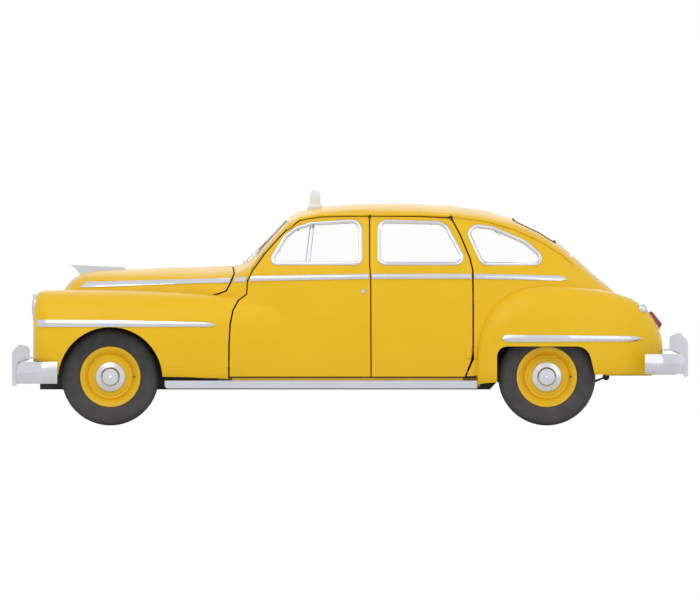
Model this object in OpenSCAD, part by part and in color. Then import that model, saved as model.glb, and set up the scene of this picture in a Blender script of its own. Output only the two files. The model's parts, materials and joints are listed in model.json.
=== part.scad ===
// Taxi cab: a long four-door saloon of the late 1940s with separate fenders, in millimetres.
// X runs rearward, Y to the car's right and Z up. The origin is on the ground at mid length.

/* [Overall size] */
// Length over the bumpers
overall_length = 5070; // [4950:10:5200]
// Height of the roof panel above the ground
roof_height = 1663; // [1640:1:1700]
// Width across the doors
body_width = 1730; // [1700:5:1770]

/* [Wheels and steering] */
// Outer radius of a tyre
tyre_radius = 365; // [358:1:370]
// Width of a tyre
tyre_width = 172; // [160:1:180]
// Radius of the wheel rim's outer edge
rim_radius = 226; // [215:1:232]
// Distance between the middle planes of the front wheels
front_track = 1470; // [1450:5:1480]
// Distance between the middle planes of the rear wheels
rear_track = 1530; // [1510:5:1545]
// Radius of a wheel spindle
spindle_radius = 22; // [18:0.5:24]
// Radius of a kingpin
kingpin_radius = 14; // [12:0.5:16]
// Rim of the steering wheel, middle of its section
steering_wheel_radius = 205; // [190:1:215]

/* [Panels] */
// Thickness of a door
door_thickness = 55; // [50:1:60]
// Thickness of the roof with its lining
roof_thickness = 32; // [26:1:38]
// Thickness of the cowl and the quarter panels with their flanges
cowl_thickness = 40; // [34:1:44]
// Thickness of the fenders, the hood and the rear panel
panel_thickness = 15; // [12:1:18]
// Thickness of the window glass
glass_thickness = 6; // [5:0.5:8]
// Gap round a door, the hood and the trunk lid
panel_gap = 10; // [9:0.5:12]

/* [Chassis] */
// Height of a frame rail
rail_height = 120; // [110:1:130]
// Width of a frame rail
rail_width = 60; // [50:1:70]
// Radius of the rear axle's tubes
axle_tube_radius = 40; // [34:1:46]
// Radius of the tow pin hole in the rear cross member
tow_hole_radius = 13; // [10:0.5:15]

/* [Hidden] */
$fn = 48;

paint = "#f2c522";
chrome = "#d9dcdc";
dark = "#333333";
glass = "#cfe3e6";
cloth = "#6b5a48";

// Clearance between fixed pieces that meet
seat_gap = 0.3;
// Radial clearance of a shaft in its bearing
running_gap = 0.1;
// How far a cutting shape runs past what it cuts
overrun = 40;
// Half width of every cut that runs right across the car
across = body_width;

// The side view is laid out in pixels of the elevation drawing, and these tie it to the sizes above
drawing_length_px = 676;
drawing_mid_px = 350;
drawing_roof_px = 203.7;
drawing_ground_px = 425.5;
mm_x = overall_length / drawing_length_px;
mm_z = roof_height / (drawing_ground_px - drawing_roof_px);
half_width = body_width / 2;
// The fenders and the bumpers reach past the tyres, however wide the tracks are
tyre_cover = 14;
cover_half = max(half_width, (max(front_track, rear_track) + tyre_width) / 2 + tyre_cover);
function at_x(px) = (px - drawing_mid_px) * mm_x;
function at_z(py) = (drawing_ground_px - py) * mm_z;
function at(p) = [at_x(p[0]), at_z(p[1])];
function outline(list_px) = [for (p = list_px) at(p)];
function at_py(z) = drawing_ground_px - z / mm_z;
// Overlap where two shapes of one solid are joined
fuse = 1;

front_wheel_px = 110.3;
rear_wheel_px = 546.8;
front_axle_x = at_x(front_wheel_px);
rear_axle_x = at_x(rear_wheel_px);
axle_z = tyre_radius;

// Sections of the closed body: place, heights in pixels, half widths as shares of the door's half width
// Columns: x, top of the crown, rail, rail half width, belt, belt half width, sill half width
body_px_shares = [
  [40, 338, 343, 0.18, 352, 0.18, 0.18],
  [43, 325, 333, 0.235, 345, 0.235, 0.235],
  [48, 312, 323, 0.295, 338, 0.295, 0.295],
  [56, 299.5, 312, 0.355, 330, 0.355, 0.355],
  [64.7, 289, 303, 0.395, 322, 0.395, 0.395],
  [72, 279.8, 297.5, 0.425, 316, 0.425, 0.425],
  [83, 272.9, 294.5, 0.46, 312, 0.46, 0.46],
  [100, 270.4, 294, 0.50, 310, 0.50, 0.50],
  [125, 269.5, 294, 0.55, 310, 0.55, 0.55],
  [166, 267.9, 294, 0.645, 306, 0.65, 0.65],
  [200, 267, 292.5, 0.74, 302, 0.75, 0.76],
  [230, 265.9, 287, 0.835, 296, 0.85, 0.88],
  [240, 264.6, 281, 0.865, 290, 0.885, 0.91],
  [247, 261.8, 275.5, 0.885, 284, 0.905, 0.925],
  [254.8, 255.6, 267, 0.89, 279.5, 0.92, 0.935],
  [266, 242.5, 251.5, 0.875, 278, 0.935, 0.945],
  [278, 229.2, 238, 0.85, 277.5, 0.95, 0.955],
  [288.8, 217.6, 228, 0.825, 277, 0.96, 0.96],
  [299.6, 211.5, 220.4, 0.805, 277, 0.967, 0.963],
  [319.5, 207.2, 216, 0.793, 276.7, 0.977, 0.967],
  [352.7, 204.4, 214.6, 0.79, 276.5, 0.985, 0.97],
  [386, 203.7, 214.3, 0.79, 276.5, 0.987, 0.97],
  [419, 204.2, 215, 0.787, 276.5, 0.985, 0.97],
  [452, 206.2, 216.8, 0.777, 276.5, 0.977, 0.965],
  [485, 210.7, 221.4, 0.757, 277, 0.957, 0.95],
  [515, 219.6, 230, 0.728, 278, 0.925, 0.925],
  [540, 231.2, 241.6, 0.692, 280, 0.885, 0.89],
  [560, 244.6, 253.6, 0.662, 284, 0.845, 0.855],
  [578, 260.4, 269.8, 0.632, 291, 0.80, 0.81],
  [594, 274.9, 282.6, 0.602, 302, 0.75, 0.765],
  [607.5, 286, 293, 0.572, 313, 0.705, 0.72],
  [620, 297.5, 304, 0.54, 324, 0.655, 0.67],
  [632, 312, 318, 0.50, 337, 0.60, 0.61],
  [642, 329, 335, 0.46, 350, 0.55, 0.55],
  [649, 348, 353, 0.42, 363, 0.50, 0.49],
  [651.5, 358, 362, 0.40, 369, 0.47, 0.46]
];
sill_py = 381;
// Outward swell of the sides between the sill and the belt, and of the window panels
side_swell = 16;
pane_swell = 9;
crown_power = 2.3;
side_steps = 4;
pane_steps = 3;
crown_steps = 6;

// Sections of a front fender, which fades away in the front door
// Columns: x, top, widest height, bottom, outer and inner edges as shares of the door's half width
front_fender_px_shares = [
  [33.2, 322, 342, 360, 0.84, 0.62],
  [33.8, 308, 341, 362, 0.90, 0.57],
  [34.8, 300, 340, 363, 0.945, 0.53],
  [36.5, 294.8, 339, 365, 0.985, 0.48],
  [39.5, 292, 338, 368, 1.012, 0.42],
  [43, 290.8, 337, 372, 1.03, 0.37],
  [48, 290.2, 337, 378, 1.045, 0.33],
  [57, 290, 336, 385, 1.06, 0.29],
  [76, 289.9, 335, 386, 1.075, 0.28],
  [110, 290, 335, 386, 1.08, 0.30],
  [150, 291, 336, 386, 1.075, 0.38],
  [190, 292.6, 338, 386, 1.06, 0.46],
  [220, 294.8, 340, 386, 1.045, 0.54],
  [245, 297, 342, 386, 1.03, 0.62],
  [270, 300.4, 344, 386, 1.015, 0.70],
  [291, 304.6, 346, 386, 1.00, 0.74],
  [311, 309.6, 347, 386, 0.985, 0.78],
  [322, 313, 348, 386, 0.97, 0.80]
];
// Sections of a rear fender, in the same columns
rear_fender_px_shares = [
  [477.6, 346, 366, 386.5, 0.995, 0.80],
  [479, 335, 363, 386.5, 1.01, 0.78],
  [481.5, 326.5, 359, 386.5, 1.028, 0.76],
  [486.5, 316, 352, 386.5, 1.05, 0.74],
  [496, 303.2, 345, 386.5, 1.075, 0.72],
  [510, 292.7, 340, 386, 1.09, 0.70],
  [526, 287, 337, 385, 1.10, 0.68],
  [546, 285, 336, 384, 1.105, 0.66],
  [570, 286.2, 336, 383, 1.10, 0.63],
  [600, 289.6, 337, 382, 1.07, 0.58],
  [617, 293.6, 338, 382, 1.03, 0.53],
  [632, 299, 340, 382, 0.97, 0.48],
  [645, 307.6, 342, 381.5, 0.89, 0.45],
  [653, 317, 344, 381, 0.82, 0.43],
  [658, 326.5, 346, 379, 0.75, 0.42],
  [661, 336, 349, 375, 0.69, 0.42],
  [662.5, 345, 354, 369, 0.62, 0.45]
];
// Sections of the panel between the front fenders, in the same columns
nose_px_shares = [
  [37.5, 318, 340, 362, 0.46, -0.46],
  [39, 311, 339, 363, 0.56, -0.56],
  [43, 306, 338, 364, 0.64, -0.64],
  [52, 302.5, 337, 365, 0.68, -0.68],
  [80, 300, 336, 365, 0.68, -0.68]
];
fender_top_power = 2.5;
fender_low_power = 4;
fender_steps = 20;

// Outlines in the side view. The hood's rear edge runs from the fender up to the crown
hood_rear_px = [
  [205, 296.5], [218, 293], [225.5, 290.3], [229.7, 282.8], [233.4, 273.5], [232.6, 268.5], [230.5, 262]
];
front_door_px = [
  [229.6, 376.6], [229.8, 345], [231, 324], [233.6, 311], [239, 300.8], [247.2, 294.6],
  [248.2, 281], [252.8, 271.6], [265.6, 253.8], [279, 238.6], [288, 229.6], [300.2, 220.9], [319.6, 217.6],
  [345, 216.9], [368.9, 216.7], [368.9, 264], [370, 277], [370.4, 376.6]
];
rear_door_px = [
  [371.8, 376.6], [371.4, 277], [370.3, 264], [370.3, 216.7], [420, 217], [450.6, 218.6],
  [459.6, 235.4], [469, 258], [472, 270], [472.4, 300], [472.4, 350], [471, 360], [464.6, 376.6]
];
// Window openings with a corner radius, in pixels
front_window_px = [
  [272, 261.8, 3], [286.4, 238.2, 12], [296.5, 230.3, 12],
  [312, 225.4, 20], [358.8, 222.8, 7], [358.8, 262, 4]
];
rear_window_px = [[380.9, 262, 5], [380.9, 223.2, 6], [443.2, 224.6, 13], [463.6, 262, 5]];
quarter_window_px = [
  [484, 262.2, 7], [467.2, 226.6, 6], [492, 229.8, 30], [524, 243.6, 30], [545, 262.4, 4]
];
// Front wheel arch: its centre lies a little below the axle
arch_drop = 19;
arch_room = 27;
arch_radius = tyre_radius + arch_room;
rear_arch_px = [[497, 390, 1], [497, 346.4, 10], [588, 346.4, 14], [598.6, 390, 1]];

// Split between the cowl and the roof, and the top of the trunk lid
header_px = 296.5;
trunk_top_px = 572;
trunk_low_py = 350;
trunk_half_share = 0.44;
rail_cover_px = 1.0;

// Returns the row of a table whose stretch holds x
function stretch(t, x, i = 0) = i >= len(t) - 2 || x < t[i + 1][0] ? i : stretch(t, x, i + 1);
function slope(t, c, i) =
  let (a = max(i - 1, 0), b = min(i + 1, len(t) - 1)) (t[b][c] - t[a][c]) / (t[b][0] - t[a][0]);
// Smooth value of column c at x: a cubic through the rows with their mean slopes
function smooth(t, c, x) =
  let (i = stretch(t, x), h = t[i + 1][0] - t[i][0], u = (x - t[i][0]) / h)
  t[i][c] * (2 * u * u * u - 3 * u * u + 1) + t[i + 1][c] * (3 * u * u - 2 * u * u * u)
  + h * slope(t, c, i) * (u * u * u - 2 * u * u + u) + h * slope(t, c, i + 1) * (u * u * u - u * u);
// Places along a table, with each stretch cut into equal parts
function places(t, parts, first, last) = [
  for (i = [0 : len(t) - 2], k = [0 : parts - 1])
    let (x = t[i][0] + (t[i + 1][0] - t[i][0]) * k / parts) if (x > first && x < last) x];
function stations(t, parts, first, last) = concat([first], places(t, parts, first, last), [last]);

// A closed skin through rings with the same number of points, closed by flat ends
module loft(rings) {
  n = len(rings[0]);
  m = len(rings);
  polyhedron(
    points = [for (r = rings, p = r) p],
    faces = concat(
      [[for (j = [0 : n - 1]) j]],
      [[for (j = [0 : n - 1]) (m - 1) * n + n - 1 - j]],
      [for (i = [0 : m - 2], j = [0 : n - 1])
        let (k = (j + 1) % n) [i * n + k, i * n + j, (i + 1) * n + j]],
      [for (i = [0 : m - 2], j = [0 : n - 1])
        let (k = (j + 1) % n) [i * n + k, (i + 1) * n + j, (i + 1) * n + k]]));
}

// Half section of the body at x, set in by a side and a top allowance, from the sill to the crown
function body_half(x, side_in, top_in) =
  let (
    top = at_z(smooth(body_px_shares, 1, x)) - top_in,
    rail_z = at_z(smooth(body_px_shares, 2, x)) - top_in,
    rail_w = smooth(body_px_shares, 3, x) * half_width - side_in,
    belt_z = at_z(smooth(body_px_shares, 4, x)),
    belt_w = smooth(body_px_shares, 5, x) * half_width - side_in,
    sill_w = smooth(body_px_shares, 6, x) * half_width - side_in,
    sill_z = at_z(sill_py))
  concat(
    [for (i = [0 : side_steps - 1]) let (u = i / side_steps)
      [sill_w + (belt_w - sill_w) * u + side_swell * 4 * u * (1 - u), sill_z + (belt_z - sill_z) * u]],
    [for (i = [0 : pane_steps - 1]) let (u = i / pane_steps)
      [belt_w + (rail_w - belt_w) * u + pane_swell * 4 * u * (1 - u), belt_z + (rail_z - belt_z) * u]],
    [for (i = [0 : crown_steps]) let (a = 90 * i / crown_steps)
      [rail_w * pow(cos(a), 2 / crown_power), rail_z + (top - rail_z) * pow(sin(a), 2 / crown_power)]]);
function body_ring(x, side_in, top_in) =
  let (h = body_half(x, side_in, top_in), n = len(h))
  concat(
    [for (p = h) [at_x(x), p[0], p[1]]],
    [for (i = [1 : n - 1]) [at_x(x), -h[n - 1 - i][0], h[n - 1 - i][1]]]);
body_first_px = body_px_shares[0][0];
body_last_px = body_px_shares[len(body_px_shares) - 1][0];

// The solid inside a body surface that lies side_in and top_in under the outer skin
module body_solid(side_in, top_in, parts = 1, end_in = 0) {
  xs = stations(body_px_shares, parts, body_first_px + end_in / mm_x, body_last_px - end_in / mm_x);
  loft([for (x = xs) body_ring(x, side_in, top_in)]);
}
module body_shell(thickness) {
  difference() {
    body_solid(0, 0);
    body_solid(thickness, thickness, 1, thickness);
    translate([-across * 2, -across, at_z(sill_py) - overrun])
      cube([across * 4, across * 2, overrun * 2]);
  }
}
// Half width of the lower body at a place in the side view
function side_y(px, z) =
  let (
    belt_w = smooth(body_px_shares, 5, px) * half_width,
    sill_w = smooth(body_px_shares, 6, px) * half_width,
    sill_z = at_z(sill_py),
    u = (z - sill_z) / (at_z(smooth(body_px_shares, 4, px)) - sill_z))
  sill_w + (belt_w - sill_w) * u + side_swell * 4 * u * (1 - u);

function signed_power(v, p) = sign(v) * pow(abs(v), p);
// Stretch over which a fender has no inner wall, and how fast the wall ends
fender_open_px = [66, 628];
fender_open_ramp_px = 8;
function fender_openness(x) =
  min(1, max(0, min(x - fender_open_px[0], fender_open_px[1] - x) / fender_open_ramp_px));
// Ring of a fender, set in all round, and run past its lower edge and its open inner side by open_by
function fender_ring(t, x, set_in, open_by) =
  let (
    bare = open_by > 0 ? fender_openness(x) : 0,
    out_y = smooth(t, 4, x) * cover_half - set_in,
    in_y = smooth(t, 5, x) * cover_half + set_in * (1 - bare) - open_by * bare,
    top = at_z(smooth(t, 1, x)) - set_in,
    mid = at_z(smooth(t, 2, x)),
    low = at_z(smooth(t, 3, x)) - open_by,
    y = (out_y + in_y) / 2,
    a = (out_y - in_y) / 2)
  [for (i = [0 : fender_steps - 1]) let (w = 360 * i / fender_steps - 90, up = sin(w) >= 0)
    [at_x(x),
     y + a * signed_power(cos(w), 2 / (up ? fender_top_power : fender_low_power)),
     mid + (up ? top - mid : mid - low)
       * signed_power(sin(w), 2 / (up ? fender_top_power : fender_low_power))]];
module fender_solid(t, set_in = 0, open_by = 0, parts = 1) {
  first = t[0][0] + set_in / mm_x;
  last = t[len(t) - 1][0] - set_in / mm_x;
  loft([for (x = stations(t, parts, first, last)) fender_ring(t, x, set_in, open_by)]);
}

// A slab between two Y planes whose side view is the 2D child
module side_slab(y0, y1) {
  translate([0, y1, 0]) rotate([90, 0, 0]) linear_extrude(height = y1 - y0) children();
}
// Turns an outline whose corners carry a radius into points with arcs
function unit(v) = v / norm(v);
function turned(v, a) = [v[0] * cos(a) - v[1] * sin(a), v[0] * sin(a) + v[1] * cos(a)];
function rounded(pts, steps = 4) = [
  for (i = [0 : len(pts) - 1])
    let (
      n = len(pts),
      p = [pts[i][0], pts[i][1]],
      a = unit([pts[(i + n - 1) % n][0], pts[(i + n - 1) % n][1]] - p),
      b = unit([pts[(i + 1) % n][0], pts[(i + 1) % n][1]] - p),
      half = acos(a * b) / 2,
      r = pts[i][2],
      c = p + unit(a + b) * r / sin(half),
      s = p + a * r / tan(half) - c,
      e = p + b * r / tan(half) - c,
      turn = (180 - 2 * half) * sign(cross(s, e)))
    for (k = [0 : steps]) c + turned(s, turn * k / steps)];
function rounded_px(list_px, steps = 4) =
  rounded([for (p = list_px) [at_x(p[0]), at_z(p[1]), p[2] * mm_x]], steps);

// Takes a child as one mesh, which suits the pressed panels
module pressed() {
  resize([0, 0, 0]) children();
}
module right_and_left() {
  children();
  mirror([0, 1, 0]) children();
}

// Regions of the side view that belong to each panel
far_py = 150;
far_px = 760;
hood_joint_px = [[20, 316], [75, 300], [130, 297.5]];
module hood_region() {
  last = hood_rear_px[len(hood_rear_px) - 1];
  polygon(outline(concat(hood_joint_px, hood_rear_px, [[last[0], far_py], [hood_joint_px[0][0], far_py]])));
}
module roof_region() {
  xs = concat([header_px], places(body_px_shares, 1, header_px, trunk_top_px), [trunk_top_px]);
  polygon(outline(concat(
    [for (x = xs) [x, smooth(body_px_shares, 2, x) + rail_cover_px]],
    [[trunk_top_px, far_py], [header_px, far_py]])));
}
trunk_half = trunk_half_share * half_width;
module trunk_region(gap, top_gap) {
  translate([at_x(trunk_top_px) - top_gap, -trunk_half - gap, at_z(trunk_low_py) - gap])
    cube([at_x(far_px) - at_x(trunk_top_px), (trunk_half + gap) * 2, at_z(far_py) - at_z(trunk_low_py)]);
}

// Doors: an outer skin that overlaps the opening and an inner box set in from it
hinge_pin_radius = 5;
hinge_eye_radius = 11;
hinge_eye_height = 50;
hinge_notch_height = 64;
hinge_set_back = 52;
hinge_depth = 27;
hinge_room = 5.2;
hinge_extra = 2;
hinge_gap = panel_gap + hinge_extra;
door_flange = 14;
door_step = 20;
front_hinge_py = [364, 333];
rear_hinge_py = [352, 296];
front_hinge_px = 229.8;
rear_hinge_px = 472.4;
front_hinge_x = at_x(front_hinge_px) + hinge_set_back;
front_hinge_y = smooth(front_fender_px_shares, 4, front_hinge_px) * cover_half - hinge_depth;
rear_hinge_x = at_x(rear_hinge_px) - hinge_set_back;
side_mid_py = 330;
rear_hinge_y = side_y(rear_hinge_px, at_z(side_mid_py)) - hinge_depth;

module door_body(set_in, parts) {
  body_solid(set_in, set_in, parts);
  fender_solid(front_fender_px_shares, set_in, set_in > door_flange ? overrun : 0, parts);
}
// Recess round a hinge, open inward and towards the door's edge
module hinge_notch(x, y, z, ahead) {
  reach = hinge_set_back + overrun;
  back = hinge_eye_radius + hinge_room * 3;
  translate([ahead ? x - reach : x - back, y - door_thickness * 2, z - hinge_notch_height / 2])
    cube([reach + back, door_thickness * 2 + hinge_eye_radius + hinge_room, hinge_notch_height]);
}
module door_panel(region_px, window_px, hinge_x, hinge_y, hinges_py, ahead) {
  pressed()
  difference() {
    door_body(0, 1);
    door_body(door_thickness, 1);
    difference() {
      side_slab(-across, across) square(across * 8, center = true);
      side_slab(0, across) polygon(outline(region_px));
    }
    difference() {
      door_body(door_flange, 1);
      side_slab(0, across) offset(delta = -door_step) polygon(outline(region_px));
    }
    side_slab(0, across) polygon(rounded_px(window_px));
    for (py = hinges_py)
      hinge_notch(hinge_x, hinge_y, at_z(py), ahead);
  }
  for (py = hinges_py)
    translate([hinge_x, hinge_y, at_z(py) - hinge_notch_height / 2 + seat_gap])
      cylinder(r = hinge_pin_radius, h = hinge_notch_height - seat_gap * 2);
}
module front_door() {
  color(paint)
    door_panel(front_door_px, front_window_px, front_hinge_x, front_hinge_y, front_hinge_py, true);
}
module rear_door() {
  color(paint)
    door_panel(rear_door_px, rear_window_px, rear_hinge_x, rear_hinge_y, rear_hinge_py, false);
}

// Window glass lies under the skin, a little inside its opening
glass_depth = 12;
module pane_shell() {
  difference() {
    body_solid(glass_depth, glass_depth, 1);
    body_solid(glass_depth + glass_thickness, glass_depth + glass_thickness, 1);
  }
}
module side_glass(window_px) {
  color(glass) pressed() intersection() {
    pane_shell();
    side_slab(0, across) offset(delta = -seat_gap) polygon(rounded_px(window_px));
  }
}

// Windshield in two panes with a middle post, and the rear window
windshield_py = [254.5, 221.5];
windshield_px = [225, 310];
windshield_low_share = 0.70;
windshield_top_share = 0.66;
windshield_post = 16;
windshield_corner = 45;
rear_glass_px = [515, 553];
rear_glass_low_py = 270;
rear_glass_half_share = 0.47;
rear_glass_corner = 60;
module windshield_cut(set_in) {
  low = at_z(windshield_py[0]);
  top = at_z(windshield_py[1]);
  translate([at_x(windshield_px[0]), 0, 0]) rotate([90, 0, 90])
    linear_extrude(height = at_x(windshield_px[1]) - at_x(windshield_px[0]))
      offset(delta = -set_in)
        polygon(rounded([
          [windshield_post, low, windshield_corner / 3],
          [windshield_low_share * half_width, low, windshield_corner],
          [windshield_top_share * half_width, top, windshield_corner],
          [windshield_post, top, windshield_corner / 3]], 4));
}
module rear_glass_cut(set_in) {
  half = rear_glass_half_share * half_width;
  x0 = at_x(rear_glass_px[0]);
  x1 = at_x(rear_glass_px[1]);
  r = rear_glass_corner;
  translate([0, 0, at_z(rear_glass_low_py)]) linear_extrude(height = roof_height)
    offset(delta = -set_in)
      polygon(rounded([[x0, -half, r], [x1, -half, r], [x1, half, r], [x0, half, r]]));
}
module body_glass() {
  color(glass) {
    pressed() intersection() {
      pane_shell();
      right_and_left() windshield_cut(seat_gap);
    }
    pressed() intersection() {
      pane_shell();
      rear_glass_cut(seat_gap);
    }
    right_and_left() side_glass(quarter_window_px);
  }
}

// Fixed body panels
cowl_low_py = 306;
cowl_lip_px = 246;
hood_gap = hinge_gap;
lid_extra = 4;
lid_gap = panel_gap + lid_extra;
cowl_first_px = 200;
// The door's outline run on past its rear edge
front_door_on_px = concat(front_door_px, [[400, 376], [400, 216.7]]);
module cowl() {
  color(paint) pressed() difference() {
    intersection() {
      union() {
        body_shell(panel_thickness);
        intersection() {
          body_shell(cowl_thickness);
          side_slab(-across, across)
            polygon(outline([
              [cowl_lip_px, cowl_low_py], [header_px, cowl_low_py],
              [header_px, far_py], [cowl_lip_px, far_py]]));
        }
      }
      side_slab(-across, across)
        difference() {
          polygon(outline([
            [cowl_first_px, cowl_low_py], [header_px, cowl_low_py],
            [header_px, far_py], [cowl_first_px, far_py]]));
          offset(delta = panel_gap) polygon(outline(front_door_on_px));
          offset(delta = hood_gap) hood_region();
        }
    }
    right_and_left() windshield_cut(0);
  }
}
module roof() {
  color(paint) pressed() difference() {
    intersection() {
      body_shell(roof_thickness);
      side_slab(-across, across) offset(delta = -seat_gap) roof_region();
    }
    rear_glass_cut(0);
    right_and_left() windshield_cut(0);
    trunk_region(panel_gap, lid_gap);
    side_slab(-across, across)
      offset(delta = panel_gap) {
        polygon(outline(front_door_px));
        polygon(outline(rear_door_px));
      }
  }
}
wheel_house_lift = 60;
wheel_house_radius = tyre_radius + wheel_house_lift;
wheel_house_wall = 12;
wheel_house_room = 50;
// Inner side of the body at the rear wheel, and the inner face of the wheel house
house_side_y = side_y(rear_wheel_px, at_z(side_mid_py)) - cowl_thickness;
wheel_house_y = min(rear_track / 2 - tyre_width / 2, house_side_y) - wheel_house_room;
quarter_first_px = 430;
quarter_ahead_px = 400;
far_low_py = 400;
module quarter_panel() {
  color(paint) pressed() difference() {
    intersection() {
      body_shell(cowl_thickness);
      side_slab(0, across)
        difference() {
          polygon(outline([
            [quarter_first_px, sill_py], [far_px, sill_py],
            [far_px, far_py], [quarter_first_px, far_py]]));
          offset(delta = hinge_gap) polygon(outline(concat(
            [for (i = [3 : 10]) rear_door_px[i]],
            [[rear_door_px[10][0], far_low_py], [quarter_ahead_px, far_low_py]])));
          roof_region();
        }
    }
    side_slab(0, across) polygon(rounded_px(quarter_window_px));
    trunk_region(panel_gap, lid_gap);
    translate([0, -across, -overrun])
      cube([across * 4, across + trunk_half + panel_gap, at_z(trunk_low_py) + overrun]);
    translate([rear_axle_x, 0, axle_z]) rotate([-90, 0, 0])
      cylinder(r = (wheel_house_radius + wheel_house_wall + seat_gap) / cos(180 / $fn), h = across);
    horn_notch();
  }
}
rear_panel_px = 600;
module rear_panel() {
  half = trunk_half + panel_gap - seat_gap;
  color(paint) pressed() difference() {
    intersection() {
      body_shell(panel_thickness);
      translate([at_x(rear_panel_px), -half, 0])
        cube([across, half * 2, at_z(trunk_low_py) - panel_gap]);
    }
    right_and_left() horn_notch();
  }
}
grille_half_share = 0.4624;
grille_half = grille_half_share * cover_half;
grille_py = [362, 320];
grille_z = [at_z(grille_py[0]), at_z(grille_py[1])];
module nose_half(set_in, open_by, parts) {
  intersection() {
    fender_solid(nose_px_shares, set_in, open_by, parts);
    translate([-across * 2, 0, 0]) cube([across * 4, across, across]);
  }
}
// Panel between the fenders, with an opening for the grille and a gap round the hood
module nose_panel() {
  color(paint) pressed() difference() {
    right_and_left() difference() {
      nose_half(0, 0, 1);
      nose_half(panel_thickness, overrun, 1);
      fender_solid(front_fender_px_shares, -seat_gap);
    }
    intersection() {
      body_solid(-panel_gap, -panel_gap);
      side_slab(-across, across) offset(delta = panel_gap) hood_region();
    }
    body_solid(panel_thickness, panel_thickness, 1);
    translate([-across * 2, -grille_half - seat_gap, 0])
      cube([across * 4, (grille_half + seat_gap) * 2, grille_z[1] + seat_gap]);
  }
}

// Hood and trunk lid swing on pins that lugs under the skin carry
lug_thickness = 12;
lug_share = 0.3468;
lug_y = lug_share * half_width;
lug_radius = 16;
lid_pin_radius = 8;
lid_eye_radius = 16;
lid_eye_width = 14;
lug_room = 6;
hood_pivot_px = [218.4, 272.8];
hood_pivot_x = at_x(hood_pivot_px[0]);
hood_pivot_z = at_z(hood_pivot_px[1]);
trunk_pivot_px = [558, 254];
trunk_pivot_x = at_x(trunk_pivot_px[0]);
trunk_pivot_z = at_z(trunk_pivot_px[1]);
// Lug at one hinge: a round-ended plate that runs from the pivot along a direction into the skin
module lid_lug(x, z, reach, tilt) {
  translate([x, lug_y + lug_thickness, z]) rotate([90, tilt, 0])
    linear_extrude(height = lug_thickness) {
      circle(r = lug_radius);
      translate([0, -lug_radius]) square([reach, lug_radius * 2]);
    }
}
module lid_pin(x, z) {
  translate([x, lug_y + lug_thickness, z]) rotate([-90, 0, 0])
    cylinder(r = lid_pin_radius, h = lug_room + lid_eye_width + seat_gap);
}
// Fixed eye and its arm down to a foot
module lid_eye(x, z, drop, foot_x) {
  y = lug_y + lug_thickness + lug_room;
  difference() {
    translate([0, y + lid_eye_width, 0]) rotate([90, 0, 0]) linear_extrude(height = lid_eye_width) {
      translate([x, z]) circle(r = lid_eye_radius);
      translate([x - lid_eye_radius, z - drop]) square([lid_eye_radius * 2, drop]);
      translate([min(x - lid_eye_radius, foot_x), z - drop])
        square([abs(foot_x - x) + lid_eye_radius, lid_eye_radius * 2]);
    }
    translate([x, y - overrun, z]) rotate([-90, 0, 0])
      cylinder(r = lid_pin_radius + running_gap, h = overrun * 2 + lid_eye_width);
  }
}
module hood() {
  lug_reach = 42;
  color(paint) {
    pressed() {
      intersection() {
        body_shell(panel_thickness);
        side_slab(-across, across) hood_region();
      }
      right_and_left() intersection() {
        lid_lug(hood_pivot_x, hood_pivot_z, lug_reach * 3, -90);
        body_solid(panel_thickness / 2, panel_thickness / 2);
      }
    }
    right_and_left() lid_pin(hood_pivot_x, hood_pivot_z);
  }
}
// Curved arm of the trunk lid, which passes under the edge of the roof as the lid lifts
hook_radius = [105, 131];
hook_turn = [-100, -12];
module trunk_hook() {
  steps = 8;
  turn = (hook_turn[1] - hook_turn[0]) / steps;
  reach = hook_radius[1] * 2;
  translate([trunk_pivot_x, lug_y + lug_thickness, trunk_pivot_z]) rotate([90, 0, 0])
    linear_extrude(height = lug_thickness) {
      circle(r = lug_radius);
      rotate(hook_turn[0]) translate([0, -lug_radius / 2]) square([hook_radius[1] - fuse, lug_radius]);
      intersection() {
        difference() {
          circle(r = hook_radius[1]);
          circle(r = hook_radius[0]);
        }
        polygon(concat(
          [[0, 0]],
          [for (i = [0 : steps]) let (a = hook_turn[0] + turn * i) [reach * cos(a), reach * sin(a)]]));
      }
    }
}
module trunk_lid() {
  color(paint) {
    pressed() {
      intersection() {
        body_shell(panel_thickness);
        trunk_region(0, 0);
      }
      right_and_left() intersection() {
        trunk_hook();
        body_solid(panel_thickness / 2, panel_thickness / 2);
      }
    }
    right_and_left() lid_pin(trunk_pivot_x, trunk_pivot_z);
  }
}
// Hood ornament: a fin whose tip leads, with its half widths as shares in plan
ornament_px = [
  [70, 264.9], [124.8, 267.3], [125.8, 269.3], [125, 272], [81, 277.4], [79.2, 273.6], [76, 269.2]
];
ornament_px_shares = [[69, 0.002], [78, 0.012], [90, 0.016], [108, 0.011], [127, 0.003]];
module hood_ornament() {
  steps = 10;
  first = ornament_px_shares[0][0];
  last = ornament_px_shares[len(ornament_px_shares) - 1][0];
  edge = [for (i = [0 : steps])
    let (x = first + (last - first) * i / steps)
    [at_x(x), smooth(ornament_px_shares, 1, x) * half_width]];
  color(chrome) pressed() difference() {
    intersection() {
      side_slab(-across, across) polygon(outline(ornament_px));
      linear_extrude(height = roof_height)
        polygon(concat(edge, [for (i = [0 : steps]) [edge[steps - i][0], -edge[steps - i][1]]]));
    }
    body_solid(-seat_gap, -seat_gap);
  }
}

// Way for the frame's rear end through the panels
module horn_notch() {
  room = 6;
  translate([at_x(rear_panel_px), rail_y - rail_width / 2 - room, 0])
    cube([across, rail_width + room * 2, rail_rear_low + rail_height + room]);
}

// Fenders
lamp_radius = 104;
lamp_px = [31.6, 307.6];
lamp_share = 0.735;
lamp_y = lamp_share * cover_half;
lamp_depth = 160;
fender_low_py = 380.7;
// Way for the hood's sides, which swing outward past the fenders
hood_swing = 9;
hood_side_gap = panel_gap + hood_swing;
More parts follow.
